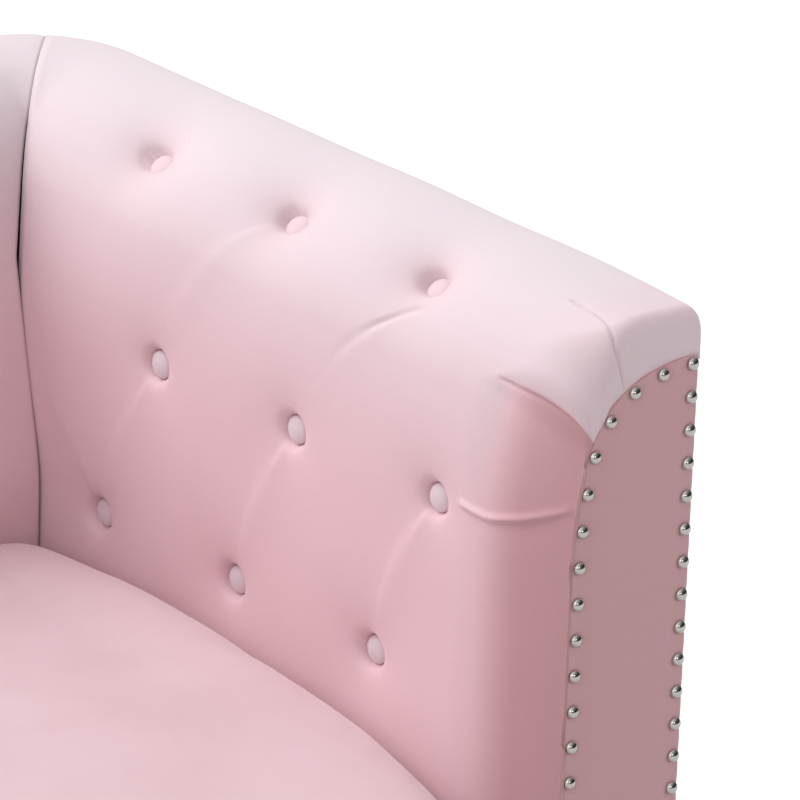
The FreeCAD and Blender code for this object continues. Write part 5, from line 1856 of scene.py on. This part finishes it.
@dataclass
class Studio:
    """Pale floor, soft light and the camera at the photograph's angle.

    Attributes:
        azimuth: camera's turn to the left of straight ahead, in radians.
        elevation: camera's height angle.
        roll: camera's roll.
        distance: camera's distance from its aim.
        lens: focal length in millimetres on a 36 mm sensor.
        aim: the point that the camera looks at.
    """

    azimuth: float = math.radians(40.0)
    elevation: float = math.radians(20.75)
    roll: float = math.radians(2.10)
    distance: float = 5.333
    lens: float = 339.75
    aim: Triple = (0.583, -0.172, 0.6936)

    def hang(self, holder: Piece, right: Array, up: Array, back: Array, place: Array) -> None:
        """Turns a camera or lamp to its axes, puts it in its place and links it to the scene.

        Args:
            holder: the camera's or lamp's object.
            right: direction to its right.
            up: direction over it.
            back: direction away from what it looks at.
            place: where it hangs.
        """
        matrix = np.eye(4)
        matrix[:3] = np.stack([right, up, back, place], -1)
        holder.matrix_world = Matrix(matrix.tolist())
        bpy.context.scene.collection.objects.link(holder)

    def camera(self) -> None:
        """Makes the camera from its angles: its axes are right, up and back."""
        turn, tilt = self.azimuth, self.elevation
        back = np.array([-math.sin(turn) * math.cos(tilt), -math.cos(turn) * math.cos(tilt), math.sin(tilt)])
        right = np.array([math.cos(turn), -math.sin(turn), 0.0])
        up = np.cross(back, right)
        leaning = math.cos(self.roll) * right + math.sin(self.roll) * up
        rising = math.cos(self.roll) * up - math.sin(self.roll) * right
        place = np.array(self.aim) + self.distance * back
        lens = bpy.data.cameras.new("camera")
        lens.lens = self.lens
        lens.sensor_width = 36.0
        lens.clip_end = 200.0
        holder = bpy.data.objects.new("camera", lens)
        self.hang(holder, leaning, rising, back, place)
        bpy.context.scene.camera = holder

    def lamp(self, name: str, place: Triple, size: float, level: float, mirrored: bool = True) -> None:
        """Adds a square area lamp that looks at the seat.

        Args:
            name: the lamp's name.
            place: where it hangs.
            size: its side.
            level: brightness of a white surface that faces it; the power is pi squared * d squared * level.
            mirrored: whether metal shows it.
        """
        offset = np.array(place) - np.array([0.0, 0.0, 0.5])
        light = bpy.data.lights.new(name, "AREA")
        light.size = size
        light.energy = math.pi ** 2 * float(offset @ offset) * level
        holder = bpy.data.objects.new(name, light)
        back = unit(offset)
        right = unit(np.cross(np.array([0.0, 1.0, 0.0]), back))
        holder.visible_camera = False
        holder.visible_glossy = mirrored
        self.hang(holder, right, np.cross(back, right), back, np.array(place))

    def world(self, low: float, high: float) -> None:
        """Soft light from all round that looks white to the camera, brighter on the left, behind and above.

        Args:
            low: strength on the dim side.
            high: strength on the bright side.
        """
        world = bpy.data.worlds.new("studio")
        world.use_nodes = True
        nodes = Nodes(world.node_tree)
        toward = nodes.add("ShaderNodeVectorMath", operation="DOT_PRODUCT")
        nodes.link(nodes.add("ShaderNodeTexCoord").outputs["Generated"], toward.inputs[0])
        bright_way = (-0.65, 0.57, 0.50)
        toward.inputs[1].default_value = bright_way
        bright = ramp(nodes, toward.outputs["Value"], low=-0.6, high=0.9)
        level = nodes.math("ADD", nodes.math("MULTIPLY", bright, high - low), low)
        path = nodes.add("ShaderNodeLightPath")
        shown = nodes.math("MAXIMUM", path.outputs["Is Camera Ray"], path.outputs["Is Transmission Ray"])
        dull = nodes.math("MULTIPLY", path.outputs["Is Glossy Ray"], nodes.math("SUBTRACT", 0.8, bright))
        level = nodes.math("MULTIPLY", level, nodes.math("SUBTRACT", 1.0, dull))
        rest = nodes.math("MULTIPLY", level, nodes.math("SUBTRACT", 1.0, shown))
        strength = nodes.math("ADD", rest, shown)
        background = world.node_tree.nodes["Background"]
        background.inputs["Color"].default_value = (1.0, 1.0, 1.0, 1.0)
        nodes.link(strength, background.inputs["Strength"])
        bpy.context.scene.world = world

    def floor(self, reach: float = 60.0) -> None:
        """A pale floor that keeps the shadow and is white to the camera elsewhere."""
        edge = np.linspace(-reach, reach, 3)
        points = np.stack([*np.meshgrid(edge, edge, indexing="ij"), np.zeros((3, 3))], -1)
        piece = mesh_object("floor", points, grid_faces(3, 3))
        made = bpy.data.materials.new("pale_floor")
        made.use_nodes = True
        nodes = Nodes(made.node_tree)
        shader = made.node_tree.nodes["Principled BSDF"]
        shader.inputs["Base Color"].default_value = (0.5, 0.5, 0.5, 1.0)
        shader.inputs["Roughness"].default_value = 0.8
        shader.inputs["Emission Color"].default_value = (1.0, 1.0, 1.0, 1.0)
        path = nodes.add("ShaderNodeLightPath")
        mirrored = nodes.math("MULTIPLY", path.outputs["Is Glossy Ray"], 0.3)
        shown = nodes.math("ADD", path.outputs["Is Camera Ray"], mirrored)
        nodes.link(nodes.math("MULTIPLY", shown, 0.6), shader.inputs["Emission Strength"])
        piece.data.materials.append(made)

    def build(self) -> None:
        """Builds floor, world, lamps and camera."""
        bpy.context.scene.view_settings.view_transform = "Standard"
        self.floor()
        self.world(low=0.20, high=1.06)
        self.lamp("key", (-1.4, 3.2, 4.4), size=3.2, level=0.62)
        self.lamp("fill", (3.4, -3.0, 1.4), size=2.4, level=0.21, mirrored=False)
        self.lamp("glint_left", (-2.9, -2.3, 2.4), size=1.0, level=0.045)
        self.lamp("glint_right", (-0.9, -4.2, 2.4), size=1.0, level=0.045)
        self.camera()


def main() -> None:
    """Builds every piece in order."""
    logging.basicConfig(level=logging.INFO, format="%(message)s")
    body = Body.from_frame()
    Studio().build()
    Carcass().dress()
    for side in Side:
        arm = ArmPad(body, side=side)
        arm.build()
        node = "arm_buttons" if side is Side.RIGHT else ""
        Buttons(f"arm_covered_buttons_{side.label}", node).build(*arm.seats())
        front = ArmFront(body, side)
        front.build_panel()
        front.build_nails()
    back = BackPad(body)
    back.build()
    Buttons("back_covered_buttons", "back_buttons").build(*back.seats())
    OutsideCovers(body).build()
    for side in Side:
        cushion = SeatCushion(side)
        cushion.build()
        cushion.build_zip()
    linings = Linings(body)
    linings.build_deck()
    linings.build_dust_cloth()


if __name__ == "__main__":
    main()
